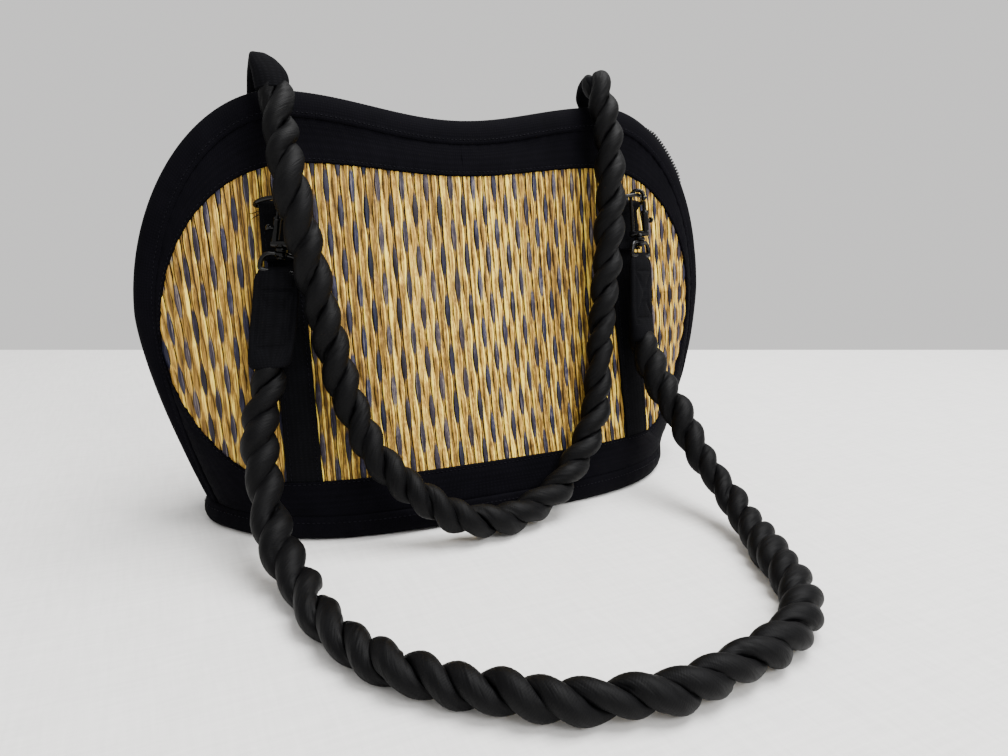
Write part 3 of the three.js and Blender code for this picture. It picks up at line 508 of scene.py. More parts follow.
def applied(obj, kind, **settings):
    chosen(obj)
    modifier = obj.modifiers.new(kind.lower(), kind)
    for key, value in settings.items():
        setattr(modifier, key, value)
    bpy.ops.object.modifier_apply(modifier=modifier.name)


# Faces turned outward on a closed piece
def outward_faces(obj):
    chosen(obj)
    bpy.ops.object.mode_set(mode="EDIT")
    bpy.ops.mesh.select_all(action="SELECT")
    bpy.ops.mesh.remove_doubles(threshold=0.000004)
    bpy.ops.mesh.normals_make_consistent(inside=False)
    bpy.ops.object.mode_set(mode="OBJECT")


# Open ends closed with a face each
def capped(obj):
    chosen(obj)
    bpy.ops.object.mode_set(mode="EDIT")
    bpy.ops.mesh.select_all(action="DESELECT")
    bpy.ops.mesh.select_mode(type="EDGE")
    bpy.ops.mesh.select_non_manifold()
    bpy.ops.mesh.fill_holes(sides=0)
    bpy.ops.mesh.select_all(action="SELECT")
    bpy.ops.mesh.normals_make_consistent(inside=False)
    bpy.ops.object.mode_set(mode="OBJECT")


# A grid moved on to rows of points in millimetres, then given its wall thickness
def laid_grid(name, rows, outside, thickness=0.0, closed=False):
    rows = np.asarray(rows, float)
    count_v, count_u = rows.shape[:2]
    bpy.ops.object.select_all(action="DESELECT")
    bpy.ops.mesh.primitive_grid_add(x_subdivisions=count_u - 1, y_subdivisions=count_v - 1, size=1)
    obj = bpy.context.object
    obj.name = name
    mesh = obj.data
    mesh.name = name
    mesh.vertices.foreach_set("co", (rows * MM).reshape(-1))
    middle = rows[count_v // 2]
    length_u = run_along(middle)[-1] * MM
    length_v = np.mean(np.linalg.norm(np.diff(rows, axis=0), axis=2).sum(axis=0)) * MM
    layer = mesh.uv_layers[0]
    places = np.zeros(2 * len(layer.data))
    layer.data.foreach_get("uv", places)
    places = places.reshape(-1, 2) * (length_u, length_v)
    layer.data.foreach_set("uv", places.reshape(-1))
    mesh.update()
    facing = np.zeros(3 * len(mesh.polygons))
    mesh.polygons.foreach_get("normal", facing)
    middles = np.zeros(3 * len(mesh.polygons))
    mesh.polygons.foreach_get("center", middles)
    agreed = (facing.reshape(-1, 3) * outside(middles.reshape(-1, 3) / MM)).sum()
    chosen(obj)
    bpy.ops.object.mode_set(mode="EDIT")
    bpy.ops.mesh.select_all(action="SELECT")
    if agreed < 0:
        bpy.ops.mesh.flip_normals()
    if closed:
        bpy.ops.mesh.remove_doubles(threshold=0.000002)
    bpy.ops.object.mode_set(mode="OBJECT")
    if thickness:
        applied(obj, "SOLIDIFY", thickness=thickness * MM, offset=-1, use_even_offset=False)
    chosen(obj)
    bpy.ops.object.shade_smooth_by_angle(angle=math.radians(50))
    return obj


# A smooth piece from points in millimetres
def new_piece(name, points, faces):
    mesh = bpy.data.meshes.new(name)
    mesh.from_pydata((points * MM).tolist(), [], faces)
    mesh.polygons.foreach_set("use_smooth", np.ones(len(mesh.polygons), bool))
    mesh.update()
    obj = bpy.data.objects.new(name, mesh)
    bpy.context.collection.objects.link(obj)
    return obj


# Pieces made of many small copies of one shape, at their places
def scattered(name, shape, faces, places, axes):
    shape = np.asarray(shape, float)
    count = len(places)
    spots = np.einsum("sk,nkd->nsd", shape, axes) + np.asarray(places)[:, None, :]
    offsets = np.arange(count)[:, None, None] * len(shape)
    polygons = (np.asarray(faces)[None, :, :] + offsets).reshape(-1, len(faces[0]))
    obj = new_piece(name, spots.reshape(-1, 3), polygons.tolist())
    obj.data.uv_layers.new(name="lengths")
    return obj


# One stitch: a thread bead, long in x, pulled down at both ends
STITCH_SHAPE = [
    (-0.5, 0, -0.45), (-0.3, 0.5, 0), (-0.3, 0, 0.75), (-0.3, -0.5, 0),
    (0.3, 0.5, 0), (0.3, 0, 0.75), (0.3, -0.5, 0), (0.5, 0, -0.45),
]
STITCH_FACES = [
    (0, 2, 1), (0, 3, 2), (0, 1, 3), (1, 2, 5), (1, 5, 4), (2, 3, 6), (2, 6, 5),
    (3, 1, 4), (3, 4, 6), (7, 4, 5), (7, 5, 6), (7, 6, 4),
]


STITCH_WIDTH = 0.55
STITCH_HEIGHT = 0.32


def stitch_line(places, normals, length):
    places = np.asarray(places, float)
    along = unit(np.gradient(places, axis=0))
    normals = unit(normals - (normals * along).sum(axis=1, keepdims=True) * along)
    across = np.cross(normals, along)
    axes = np.stack([along * length, across * STITCH_WIDTH, normals * STITCH_HEIGHT], axis=1)
    return places, axes


# Stitches evenly along a line shaped for the front or the front right, moved to their place
def stitched(points, normals, move, place, spacing, length, margin=0.0):
    marks = spaced(np.concatenate([points, normals], axis=1), spacing, margin)
    return stitch_line(move(marks[:, :3], place), move(marks[:, 3:], place), length)


def sewn(name, lines):
    places = np.concatenate([line[0] for line in lines])
    axes = np.concatenate([line[1] for line in lines])
    obj = scattered(name, STITCH_SHAPE, STITCH_FACES, places, axes)
    return finished(obj, THREAD_LOOK)


FACES = {"front": 1, "back": -1}


def faced(points, face):
    return np.asarray(points) * (1, FACES[face], 1)


# Centripetal curve through a rope's route, at even steps
def route_curve(route, step):
    knots = np.asarray(route, float)
    knots = np.concatenate([[2 * knots[0] - knots[1]], knots, [2 * knots[-1] - knots[-2]]])
    dense = []
    for i in range(1, len(knots) - 2):
        p0, p1, p2, p3 = knots[i - 1:i + 3]
        t1 = np.linalg.norm(p1 - p0) ** 0.5
        t2 = t1 + np.linalg.norm(p2 - p1) ** 0.5
        t3 = t2 + np.linalg.norm(p3 - p2) ** 0.5
        t = np.linspace(t1, t2, 24, endpoint=False)[:, None]
        a1 = (t1 - t) / t1 * p0 + t / t1 * p1
        a2 = (t2 - t) / (t2 - t1) * p1 + (t - t1) / (t2 - t1) * p2
        a3 = (t3 - t) / (t3 - t2) * p2 + (t - t2) / (t3 - t2) * p3
        b1 = (t2 - t) / t2 * a1 + t / t2 * a2
        b2 = (t3 - t) / (t3 - t1) * a2 + (t - t1) / (t3 - t1) * a3
        dense.append((t2 - t) / (t2 - t1) * b1 + (t - t1) / (t2 - t1) * b2)
    dense = np.concatenate(dense + [knots[-2:-1]])
    return spaced(dense, step)


# Two directions square to a line, carried along it without twist
def carried_frame(points):
    along = unit(np.gradient(points, axis=0))
    side = np.zeros_like(points)
    start = np.cross(along[0], (0, 0, 1.0))
    if np.linalg.norm(start) < 0.1:
        start = np.cross(along[0], (0, 1.0, 0))
    side[0] = unit(start)
    for i in range(1, len(points)):
        moved = side[i - 1] - along[i] * side[i - 1].dot(along[i])
        side[i] = unit(moved)
    return side, np.cross(along, side)


# Two soft covered strands laid round each other, each end tucked a little way into its tab
STRAND_SIDES = 34
STRAND_OFFSET = 4.05
STRAND_OUTER = 4.55
STRAND_INNER = 4.0
STRAND_WIDE = 5.3
STRAND_COVER = 4.4
ROPE_STEP = 1.15
DRIFT_STEP = 8.4
ROPE_LOWEST_Z = 0.2


def twisted_rope(name, route, turns, sizes, tucks, seed):
    chance = np.random.RandomState(seed)
    line = route_curve(route, ROPE_STEP)
    run = run_along(line)
    steps = np.array(turns).T
    half_turns = smoothed(np.interp(run, steps[0], steps[1]), 19)
    path = [tuple(float(c) for c in p) for p in line[::4] * MM]
    path.append(tuple(float(c) for c in line[-1] * MM))
    length = float(run[-1]) * MM
    before = np.linspace(tucks[0], ROPE_STEP, 7)
    after = np.linspace(ROPE_STEP, tucks[1], 7)
    first = line[0] + unit(line[0] - line[2]) * before[:, None]
    last = line[-1] + unit(line[-1] - line[-3]) * after[:, None]
    start = half_turns[0] - (half_turns[1] - half_turns[0]) / ROPE_STEP * before
    end = half_turns[-1] + (half_turns[-1] - half_turns[-2]) / ROPE_STEP * after
    line = np.concatenate([first, line, last])
    half_turns = np.concatenate([start, half_turns, end])
    run = run_along(line)
    count = len(line)
    knots = np.arange(0, run[-1] + 17, DRIFT_STEP)

    def drift(amount):
        return smoothed(np.interp(run, knots, chance.normal(0, amount, len(knots))), 7)
    half_turns = half_turns + drift(0.05)
    side, other = carried_frame(line)
    middle_line = line + side * drift(0.35)[:, None] + other * drift(0.35)[:, None]
    ends = np.minimum(run, run[-1] - run)
    steps = np.array(sizes).T
    size = np.interp(run - tucks[0], steps[0], steps[1])
    fullness = size * (0.5 + 0.5 * np.clip(ends / 9, 0, 1) ** 0.7)
    points = []
    faces = []
    places = []
    angle = 2 * np.pi * np.arange(STRAND_SIDES) / STRAND_SIDES
    turn = angle[None, :]
    for strand in range(2):
        phase = np.pi * (half_turns + strand)
        radial = np.cos(phase)[:, None] * side + np.sin(phase)[:, None] * other
        middle = middle_line + radial * (STRAND_OFFSET * fullness * (1 + drift(0.05)))[:, None]
        tangent = unit(np.gradient(middle, axis=0))
        radial = unit(radial - (radial * tangent).sum(axis=1, keepdims=True) * tangent)
        across = np.cross(tangent, radial)
        strand_run = run_along(middle)
        far = strand_run[:, None]
        deep = np.where(np.cos(turn) > 0, STRAND_OUTER, STRAND_INNER) * np.cos(turn)
        wide = STRAND_WIDE * np.sin(turn) * (1 - 0.1 * np.cos(turn))
        swell = 1 + drift(0.07)[:, None] + 0.016 * np.sin(far / 3.1 + 2 * turn)
        lean = drift(0.9)[:, None]
        mask = np.clip(drift(1.1)[:, None] + 0.25, 0, 1)
        pleat = np.sin(6 * turn + far / 4.2 + lean * 3) * np.clip(0.9 - np.cos(turn), 0, 1)
        tuck = np.exp(-((np.sin((far / 9.6 + 1.5 * lean + turn) / 2)) / 0.16) ** 2)
        crease = np.clip(0.5 - np.cos(turn), 0, 1)
        pucker = crease * np.sin(far / 0.95 + 2.2 * lean + 2 * turn)
        pinch = np.clip(0.85 - np.abs(np.cos(turn - 0.5)), 0, 1)
        fold = 0.42 * pleat * mask - 0.95 * tuck * mask * pinch + 0.17 * pucker
        deep = (deep * swell + fold * np.cos(turn)) * fullness[:, None]
        wide = (wide * swell + fold * np.sin(turn)) * fullness[:, None]
        ring = middle[:, None, :] + radial[:, None, :] * deep[..., None]
        ring = ring + across[:, None, :] * wide[..., None]
        base = strand * count * STRAND_SIDES
        points.append(ring.reshape(-1, 3))
        row = np.arange(count - 1)[:, None] * STRAND_SIDES
        k = np.arange(STRAND_SIDES)[None, :]
        after = (k + 1) % STRAND_SIDES
        quads = np.stack([row + k, row + after, row + STRAND_SIDES + after, row + STRAND_SIDES + k], axis=-1)
        faces += (quads.reshape(-1, 4) + base).tolist()
        faces.append((base + np.arange(STRAND_SIDES)[::-1]).tolist())
        faces.append((base + (count - 1) * STRAND_SIDES + np.arange(STRAND_SIDES)).tolist())
        u = np.repeat(strand_run, STRAND_SIDES)
        v = np.tile(np.abs(angle - np.pi) * STRAND_COVER, count)
        places.append(np.stack([u, v], axis=1))
    points = np.concatenate(points)
    points[:, 2] = np.maximum(points[:, 2], ROPE_LOWEST_Z)
    places = np.concatenate(places) * MM
    obj = new_piece(name, points, faces)
    mesh = obj.data
    layer = mesh.uv_layers.new(name="lengths")
    corners = np.zeros(len(mesh.loops), int)
    mesh.loops.foreach_get("vertex_index", corners)
    layer.data.foreach_set("uv", places[corners].reshape(-1))
    outward_faces(obj)
    return obj, path, length


for name, route, turns, sizes, tucks, seed in (
    ("front_rope", FRONT_ROPE, FRONT_TURNS, FRONT_FULLNESS, (9, 9), 3),
    ("back_rope", BACK_ROPE, BACK_TURNS, BACK_FULLNESS, (6, 5), 8),
):
    rope, path, length = twisted_rope("twisted_" + name, route, turns, sizes, tucks, seed)
    finished(rope, SATIN_LOOK, replaced=(name,))


# Top and bottom of the reed panel at a place across it
def reed_reach(x):
    far = np.abs(x)
    reaches = []
    for form in (REED, REED_LEFT):
        share = np.clip(far / form["hump_x"], 0, 1)
        hump = form["dip"] + (form["hump_z"] - form["dip"]) * (1 - np.cos(np.pi * share)) / 2
        side = np.clip((far - form["hump_x"]) / (form["wide_x"] - form["hump_x"]), 0, 1)
        angle = np.arcsin(side ** (form["shoulder"] / 2))
        rise = np.cos(angle) ** (2 / form["shoulder"])
        shoulder = form["wide_z"] + (form["hump_z"] - form["wide_z"]) * rise
        top = np.where(far < form["hump_x"], hump, shoulder)
        side = np.clip((far - form["corner_x"]) / (form["wide_x"] - form["corner_x"]), 0, 1)
        angle = np.arccos(side ** (form["corner"] / 2))
        low = form["wide_z"] - (form["wide_z"] - form["bottom"]) * np.sin(angle) ** (2 / form["corner"])
        reaches.append((np.where(far < form["corner_x"], form["bottom"], low), top))
    right, left = reaches
    return np.where(x > 0, right[0], left[0]), np.where(x > 0, right[1], left[1])


# Woven wall: upright reeds over and under level strings, with a lining sheet behind them
STRING_GAP = 12.9
FIRST_STRING_Z = 166
REED_STEP = STRING_GAP / 6
REED_MIDDLE_Z = 108.0
LEAN_Z = 100
FIRST_REED = -78
LAST_REED = 84
REED_POINTS = 7
STRING_ROWS = 20
REED_PLACES = np.array([
    (-78, -173.3), (-72, -160.8), (-66, -148.3), (-60, -136.1), (-54, -123.8), (-30, -71.8),
    (-21, -51.2), (-12, -30.9), (0, -2.4), (15, 30), (24, 48.8), (36, 73.2), (66, 131), (72, 142.5),
    (78, 154), (84, 165.5),
])
REED_LEAN = np.array([
    (-170, -0.139), (-160, -0.097), (-150, -0.065), (-140, -0.04), (-125, -0.014), (-100, 0.009),
    (-60, 0.019), (0, 0.02), (30, 0.025), (60, 0.04), (95, 0.04), (130, 0.014), (165, -0.004),
])
# How far the strings lie below even spacing, by height
STRING_SAG = np.array([(40, 2.8), (68, 3.1), (96, 3.5), (126, 2.4), (156, 1.2), (186, 0)])


# Places along the panel at half its height, measured round its curve
def across_panel(places):
    wide = REED_LEFT["wide_x"]
    x = np.linspace(-wide, wide, 2000)
    depth = front_depth(x, np.full_like(x, REED["wide_z"]))
    run = run_along(np.stack([x, depth], axis=1))
    return np.interp(places, run - run[-1] / 2, x, left=np.nan, right=np.nan)


# One reed's middle line: a slight lean, kept inside the panel's outline
def reed_line(place):
    x = float(across_panel(place))
    lean = float(np.interp(place, REED_LEAN[:, 0], REED_LEAN[:, 1]))
    z = np.arange(REED["bottom"] - 1, REED["hump_z"] + 1, 0.25)
    at = x + lean * (z - LEAN_Z)
    bottom, top = reed_reach(np.sign(at) * np.maximum(np.abs(at) - 1.7, 0))
    limit = np.where(at > 0, REED["wide_x"], REED_LEFT["wide_x"]) + 1.2
    inside = (np.abs(at) < limit) & (z > bottom - 1.6) & (z < top + 1.6)
    if np.isnan(x) or inside.sum() < 12:
        return None
    low, high = z[inside][[0, -1]]
    rows = int((high - low) / REED_STEP) + 2
    z = np.linspace(low, high, rows)
    return x + lean * (z - LEAN_Z), z


def woven_panel(name, face, seed):
    chance = np.random.RandomState(seed)
    points = []
    faces = []
    tones = []
    profile = np.array([-1, -0.68, -0.34, 0, 0.34, 0.68, 1])
    crown = np.array([-0.9, 0.6, 0.2, 0.8, 0.2, 0.6, -0.9])
    slope = np.array([0.62, 0.96, 0.72, 0.6, 0.52, 0.58, 0.4])
    # Each stem's tone across a reed: a painted highlight on the side next to a dyed reed, painted shade on
    # the far side, dyed reeds darker at both edges
    stem_tone_and_painted_light = {0: np.array([0.35, 0.72, 0.5, 0.66, 0.5, 0.72, 0.35]), 1: slope, 2: slope[::-1]}
    base = 0
    for i in range(FIRST_REED, LAST_REED + 1):
        place = float(np.interp(i, REED_PLACES[:, 0], REED_PLACES[:, 1]))
        line = reed_line(place)
        if line is None:
            continue
        x, z = line
        rows = len(z)
        pitch = float(np.interp(i + 0.5, REED_PLACES[:, 0], REED_PLACES[:, 1])) - place
        string = FIRST_STRING_Z - 2.4 * (min(place, 0) / 140) ** 2
        sag = np.interp(z, STRING_SAG[:, 0], STRING_SAG[:, 1])
        wave = np.cos(np.pi * (z + sag - string) / STRING_GAP + np.pi * (i % 2))
        row = np.clip(np.floor((z - REED["bottom"]) / STRING_GAP + 0.5).astype(int), 0, STRING_ROWS - 1)
        dyed = i % 3 == 0
        middle, swing = (0.98, 0.56) if dyed else (1.14, 0.38)
        width = (middle + swing * wave) * chance.uniform(0.94, 1.06) * pitch / 1.125
        lift = -0.7 + 0.5 * wave
        height = 0.34 + 0.1 * wave
        drift = chance.uniform(-0.1, 0.1, STRING_ROWS)[row]
        at_x = (x + drift)[:, None] + width[:, None] * profile[None, :]
        at_z = np.repeat(z[:, None], REED_POINTS, axis=1)
        at_lift = lift[:, None] + height[:, None] * crown[None, :]
        points.append(faced(on_panel(at_x, at_z, at_lift).reshape(-1, 3), face))
        stems = stem_tone_and_painted_light[i % 3] + chance.normal(0, 0.16, REED_POINTS) + chance.normal(0, 0.06)
        by_row = chance.normal(0, 0.07, STRING_ROWS)[row]
        pale = 0.12 if dyed and i % 2 else -0.05 if dyed else 0
        shown = np.clip((wave + 0.7) / 0.4, 0, 1)
        # Painted shade at the reeds' edges, stronger on dyed reeds, and where each reed dips under a string
        edge = np.array([0.7, 0, 0.1, 0, 0.1, 0, 0.7]) if dyed else np.array([0.35, 0, 0, 0, 0, 0, 0.35])
        mark = np.ones((rows, REED_POINTS, 4))
        mark[..., 0] = stems[None, :] + by_row[:, None] + pale * shown[:, None]
        mark[..., 1] = (shown * chance.uniform(0.92, 1))[:, None] * dyed
        mark[..., 2] = np.clip(edge[None, :] + 0.25 * np.clip(-wave - 0.3, 0, 1)[:, None], 0, 1)
        tones.append(mark.reshape(-1, 4))
        k = np.arange(rows - 1)[:, None] * REED_POINTS + base + np.arange(REED_POINTS - 1)[None, :]
        quads = np.stack([k, k + 1, k + REED_POINTS + 1, k + REED_POINTS], axis=-1).reshape(-1, 4)
        if face == "back":
            quads = quads[:, ::-1]
        faces += quads.tolist()
        base += REED_POINTS * rows
    obj = new_piece(name, np.concatenate(points), faces)
    layer = obj.data.color_attributes.new(name="tone", type="FLOAT_COLOR", domain="POINT")
    layer.data.foreach_set("color", np.concatenate(tones).reshape(-1))
    return obj


def panel_side(face):
    def outside(places):
        return faced(-inward(places[:, 0], places[:, 2]), face)
    return outside


def lining_sheet(name, face):
    outline = whole_outline(REED)
    middle = np.array([0, REED_MIDDLE_Z])
    shares = [0.02, 0.2, 0.36, 0.52, 0.66, 0.78, 0.88, 0.95, 1.015]
    rows = [on_panel(*(middle + (outline - middle) * share).T, -1.35) for share in shares]
    return laid_grid(name, faced(rows, face), panel_side(face), 0.5, closed=True)


for face, seed in (("front", 5), ("back", 11)):
    panel = woven_panel(face + "_reeds", face, seed)
    finished(panel, REED_LOOK, replaced=(face + "_reed_panel",))
    sheet = lining_sheet(face + "_lining", face)
    finished(sheet, STRAP_LOOK)


# The border rises where it passes over the straps, low on the panel
STRAP_MIDDLE_X = 102.7
STRAP_REACH = 9.5
STRAP_RISE = 1.7
STRAP_FOOT_Z = 60


def over_bands(x, z):
    return STRAP_RISE * np.exp(-((np.abs(x) - STRAP_MIDDLE_X) / STRAP_REACH) ** 6) * (z < STRAP_FOOT_Z)


# Border cloth round the reeds: a folded edge over them, soft ripples, and a dip at the outer seam
def border_piece(face):
    inner = whole_outline(REED)
    outer = whole_outline(SEAM)
    run = run_along(outer)[:, None]
    width = np.linalg.norm(outer - inner, axis=1)[:, None]
    edge = np.array([[0.0, 0.0, 0.35, 1.0, 1.9, 2.8, 4.0]])
    lifts = np.array([[-0.9, 0.3, 0.95, 1.1, 0.8, 0.95, 1.0]])
    tail = np.array([[6.5, 3.6, 2.2, 1.1, 0.4, -0.6]])
    tail_lifts = np.array([[0.75, 0.6, 0.35, 0.05, -0.5, -1.2]])
    shares = np.concatenate([
        np.clip(edge / width, 0, 0.4),
        np.full_like(width, 0.5),
        1 - np.clip(tail / width, -0.2, 0.42),
    ], axis=1)
    lift = np.concatenate([
        np.repeat(lifts, len(width), axis=0),
        0.9 + 0.25 * np.sin(run / 23) + 0.15 * np.sin(run / 9.1),
        np.repeat(tail_lifts, len(width), axis=0),
    ], axis=1)
    ripple = 0.1 * np.sin(run / 1.05 + 1.3 * np.sin(run / 19)) + 0.08 * np.sin(run / 2.3)
    weight = np.array([[0, 0.3, 0.6, 1, 1, 1, 0.6, 0.2, 0.7, 1, 1, 0.8, 0.3, 0]])
    lift = lift + ripple * weight
    places = inner[:, None, :] + (outer - inner)[:, None, :] * shares[..., None]
    raised = over_bands(places[..., 0], places[..., 1])
    hold = np.array([[1, 1, 1, 1, 1, 1, 0.85, 0.4, 0.1, 0, 0, 0, 0, 0]])
    lift = lift + raised * hold * (np.arange(hold.size)[None, :] > 0)
    rows = hung_out(on_panel(places[..., 0], places[..., 1], lift), shares).transpose(1, 0, 2)
    name = face + "_border_cloth"
    obj = laid_grid(name, faced(rows, face), panel_side(face), 0.7, closed=True)
    return finished(obj, CLOTH_LOOK, replaced=(face + "_border",))


for face in FACES:
    border_piece(face)


# Gusset halves: a folded edge sewn over the border, a soft puff, and the edge at the zip
def arch_normals(outline):
    steps = np.gradient(outline, axis=0)
    return unit(upright(-steps[:, 1], steps[:, 0]))


def gusset_rows():
    seam = arch_outline(SEAM)
    ridge = arch_outline(RIDGE)
    normals = arch_normals(ridge)
    into = inward(seam[:, 0], seam[:, 1])
    steps = np.gradient(seam, axis=0)
    along = unit(upright(*steps.T))
    away = unit(np.cross(along, into))
    wrong = (away * normals).sum(axis=1) + away[:, 1] * 0.5 < 0
    away[wrong] *= -1
    start = on_panel(seam[:, 0], seam[:, 1])
    end = upright(*ridge.T, -ZIP_HALF_WIDTH - 0.3)
    end = end - normals * 0.9
    puff = unit(normals + (0, -0.6, 0))
    run = run_along(seam)[:, None]
    ripple = 0.09 * np.sin(run / 1.1 + 1.4 * np.sin(run / 17)) + 0.06 * np.sin(run / 2.5)
    rows = []
    narrow = (1 - 0.6 * np.exp(-((seam[:, 1] - 104) / 26) ** 2))[:, None]
    for back, lift, pucker in ((-1.9, -0.15, 0), (-2.0, 0.6, 0.4), (-1.5, 1.15, 0.8), (-0.6, 1.3, 1)):
        rows.append(start + away * back * narrow - into * (lift + ripple * pucker))
    first = start + away * 0.6 - into * 0.95
    bend = (first + end) / 2 + puff * 2.6
    for share in np.linspace(0, 1, 12):
        point = first * (1 - share) ** 2 + 2 * bend * share * (1 - share) + end * share ** 2
        rows.append(point + puff * ripple * (1 - share) ** 4)
    rows.append(end - normals * 1.6)
    rows = np.array(rows)
    rows[:, :, 2] = np.maximum(rows[:, :, 2], BASE_SEAM_Z - 1.5)
    return hung_out(rows)


BAG_MIDDLE_Z = 90
GUSSET_ROWS = gusset_rows()
for face in FACES:
    def gusset_side(places):
        return faced(upright(places[:, 0], places[:, 2] - BAG_MIDDLE_Z, -60.0), face)
    cloth = laid_grid(face + "_gusset_cloth", faced(GUSSET_ROWS, face), gusset_side, 0.9)
    finished(cloth, CLOTH_LOOK, replaced=(face + "_gusset",))


# Stitch lines along the gusset's folded edge and round the reeds
for face in FACES:
    seam_line = GUSSET_ROWS[4]
    away = unit(seam_line - GUSSET_ROWS[2])
    seam_normals = unit(np.cross(np.gradient(seam_line, axis=0), away))
    seam_normals[seam_normals[:, 1] > 0] *= -1
    lines = [stitched(seam_line + seam_normals * 0.12, seam_normals, faced, face, 2.5, 1.7, 4)]
    inner = whole_outline(REED)
    outer = whole_outline(SEAM)
    inset = inner + unit(outer - inner) * 2.0
    lift = 0.95 + over_bands(*inset.T)
    lines.append(stitched(on_panel(*inset.T, lift), -inward(*inset.T), faced, face, 2.5, 1.7))
    sewn(face + "_seam_stitches", lines)


# Zip: a woven tape and two rows of teeth, which show only high on the right
TEETH_FROM_Z = 176
TEETH_TO_Z = 216
TAPE_PROFILE = ((-1, -2.8), (-0.86, -1.3), (-0.4, -0.6), (0, -0.5), (0.4, -0.6), (0.86, -1.3), (1, -2.8))


def zip_pieces():
    ridge = arch_outline(RIDGE)
    normals = arch_normals(ridge)
    middle = hung_out(upright(*ridge.T))
    above = np.clip((middle[:, 2] - TEETH_FROM_Z) / 10, 0, 1)
    below = np.clip((TEETH_TO_Z - middle[:, 2]) / 6, 0, 1)
    shown = above * below * (middle[:, 0] > 100)
    middle = middle + normals * 0.9 * shown[:, None]
    half = ZIP_HALF_WIDTH + 0.6
    rows = []
    for share, rise in TAPE_PROFILE:
        rows.append(middle + normals * rise + (0, half * share, 0))
    rows = np.array(rows)
    rows[:, :, 2] = np.maximum(rows[:, :, 2], BASE_SEAM_Z - 1)

    def upward(places):
        return upright(places[:, 0], places[:, 2] - BAG_MIDDLE_Z)
    tape = laid_grid("zip_tape", rows, upward, 1.0)
    finished(tape, STRAP_LOOK, replaced=("zip_chain",))
    marks = spaced(np.concatenate([middle, normals, shown[:, None]], axis=1), 1.0, 5)
    side = np.where(np.arange(len(marks)) % 2 == 0, 0.95, -0.95)
    along = unit(np.gradient(marks[:, :3], axis=0))
    up = unit(marks[:, 3:6])
    across = np.repeat([[0.0, 1.0, 0.0]], len(marks), axis=0)
    raised = marks[:, 6] * (side < 0)
    places = marks[:, :3] - up * (2.15 - 1.7 * raised)[:, None] + across * side[:, None]
    axes = np.stack([along * 1.2, across * 1.5, up * 1.6], axis=1)
    tooth = [
        (-0.5, -0.5, -0.1), (0.5, -0.5, -0.1), (0.5, 0.5, -0.1), (-0.5, 0.5, -0.1),
        (-0.4, -0.4, 1), (0.4, -0.4, 1), (0.4, 0.4, 1), (-0.4, 0.4, 1),
    ]
    tooth_faces = [(3, 2, 1, 0), (4, 5, 6, 7), (0, 1, 5, 4), (1, 2, 6, 5), (2, 3, 7, 6), (3, 0, 4, 7)]
    teeth = scattered("zip_teeth", tooth, tooth_faces, places, axes)
    outward_faces(teeth)
    finished(teeth, NYLON_LOOK)


zip_pieces()


# Base: a shallow tray with a rolled, stitched lip
def base_loop():
    share = np.pi / 2 * np.arange(90) / 90
    x = SEAM["corner_x"] * np.sin(share)
    front = np.stack([x, front_depth(x, np.full_like(x, BASE_SEAM_Z))], axis=1)
    front = front[front[:, 0] < 138.5]
    bend = np.linspace(0, 1, 14)[1:, None]
    corner = np.array([RIDGE["corner_x"] - 0.6, 10.5])
    end = np.array([RIDGE["corner_x"], 0.0])
    cap = front[-1] * (1 - bend) ** 2 + 2 * corner * bend * (1 - bend) + end * bend ** 2
    quarter = np.concatenate([front, cap])
    lower = (quarter * (1, -1))[-2::-1]
    right = np.concatenate([quarter, lower])
    left = (right * MIRROR_X)[-2::-1]
    loop = np.concatenate([right, left])
    return spaced(loop, 1.6)


def base_piece():
    loop = base_loop()
    loop[-1] = loop[0]
    steps = np.gradient(loop, axis=0)
    steps[0] = steps[-1] = loop[1] - loop[-2]
    away = unit(np.stack([steps[:, 1], -steps[:, 0]], axis=1))
    away = np.where((away * loop).sum(axis=1, keepdims=True) < 0, -away, away)
    run = run_along(loop)
    ripple = 0.1 * np.sin(run / 1.2 + np.sin(run / 15)) + 0.12 * np.sin(run / 6.1)
    profile = [
        (-30, 0.0, 0), (-8, 0.0, 0), (-3, 0.05, 0), (-1.2, 0.3, 0), (0.3, 1.1, 0.2), (1.2, 2.6, 0.4),
        (1.8, 4.8, 0.5), (1.9, 7.0, 0.6), (1.65, 9.0, 0.8), (1.2, 10.4, 1), (0.9, 11.0, 1),
        (0.6, 12.0, 0.6), (-0.1, 12.8, 0.3), (-1.0, 12.9, 0), (-2.0, 12.2, 0), (-2.2, 8, 0), (-2.6, 3.2, 0),
        (-8, 2.6, 0), (-30, 2.6, 0),
    ]
    rows = []
    for out, z, pucker in profile:
        flat = loop + away * (out + ripple * pucker)[:, None]
        if out < -5:
            flat = loop * (1 + np.array([out / 160, out / 64]))
        rows.append(np.concatenate([flat, np.full((len(loop), 1), z)], axis=1))
    rows = np.array(rows)

    def from_ring(places):
        return np.concatenate([places[:, :2] * (0.3, 1), (places[:, 2:] - 6) * 4], axis=1)
    obj = laid_grid("base_cloth", rows, from_ring, closed=True)
    capped(obj)
    finished(obj, CLOTH_LOOK, replaced=("base_tray",))
    ring = np.concatenate([loop + away * 1.5, np.full((len(loop), 1), 10.0)], axis=1)
    outward = np.concatenate([away, np.full((len(loop), 1), 0.3)], axis=1)
    sewn("base_stitches", [stitched(ring, outward, faced, "front", 2.6, 1.7)])


base_piece()


# Where the D-ring's bar lies on the front right: its middle, outward along the panel, up it, off it
def ring_frame():
    off = -inward(RING_X, RING_Z)
    slope = float(front_depth(RING_X + 0.5, RING_Z) - front_depth(RING_X - 0.5, RING_Z))
    outward = unit((1, -slope, 0))
    up = unit(np.cross(off, outward))
    return on_panel(RING_X, RING_Z), outward, up, off


RING_ORIGIN, RING_OUT, RING_UP, RING_OFF = ring_frame()
SIDES = {"left": -1, "right": 1}


# Points shaped for the front right, moved to another of the four places
def to_place(points, place):
    face, side = place.split("_")
    return np.asarray(points) * (SIDES[side], FACES[face], 1)


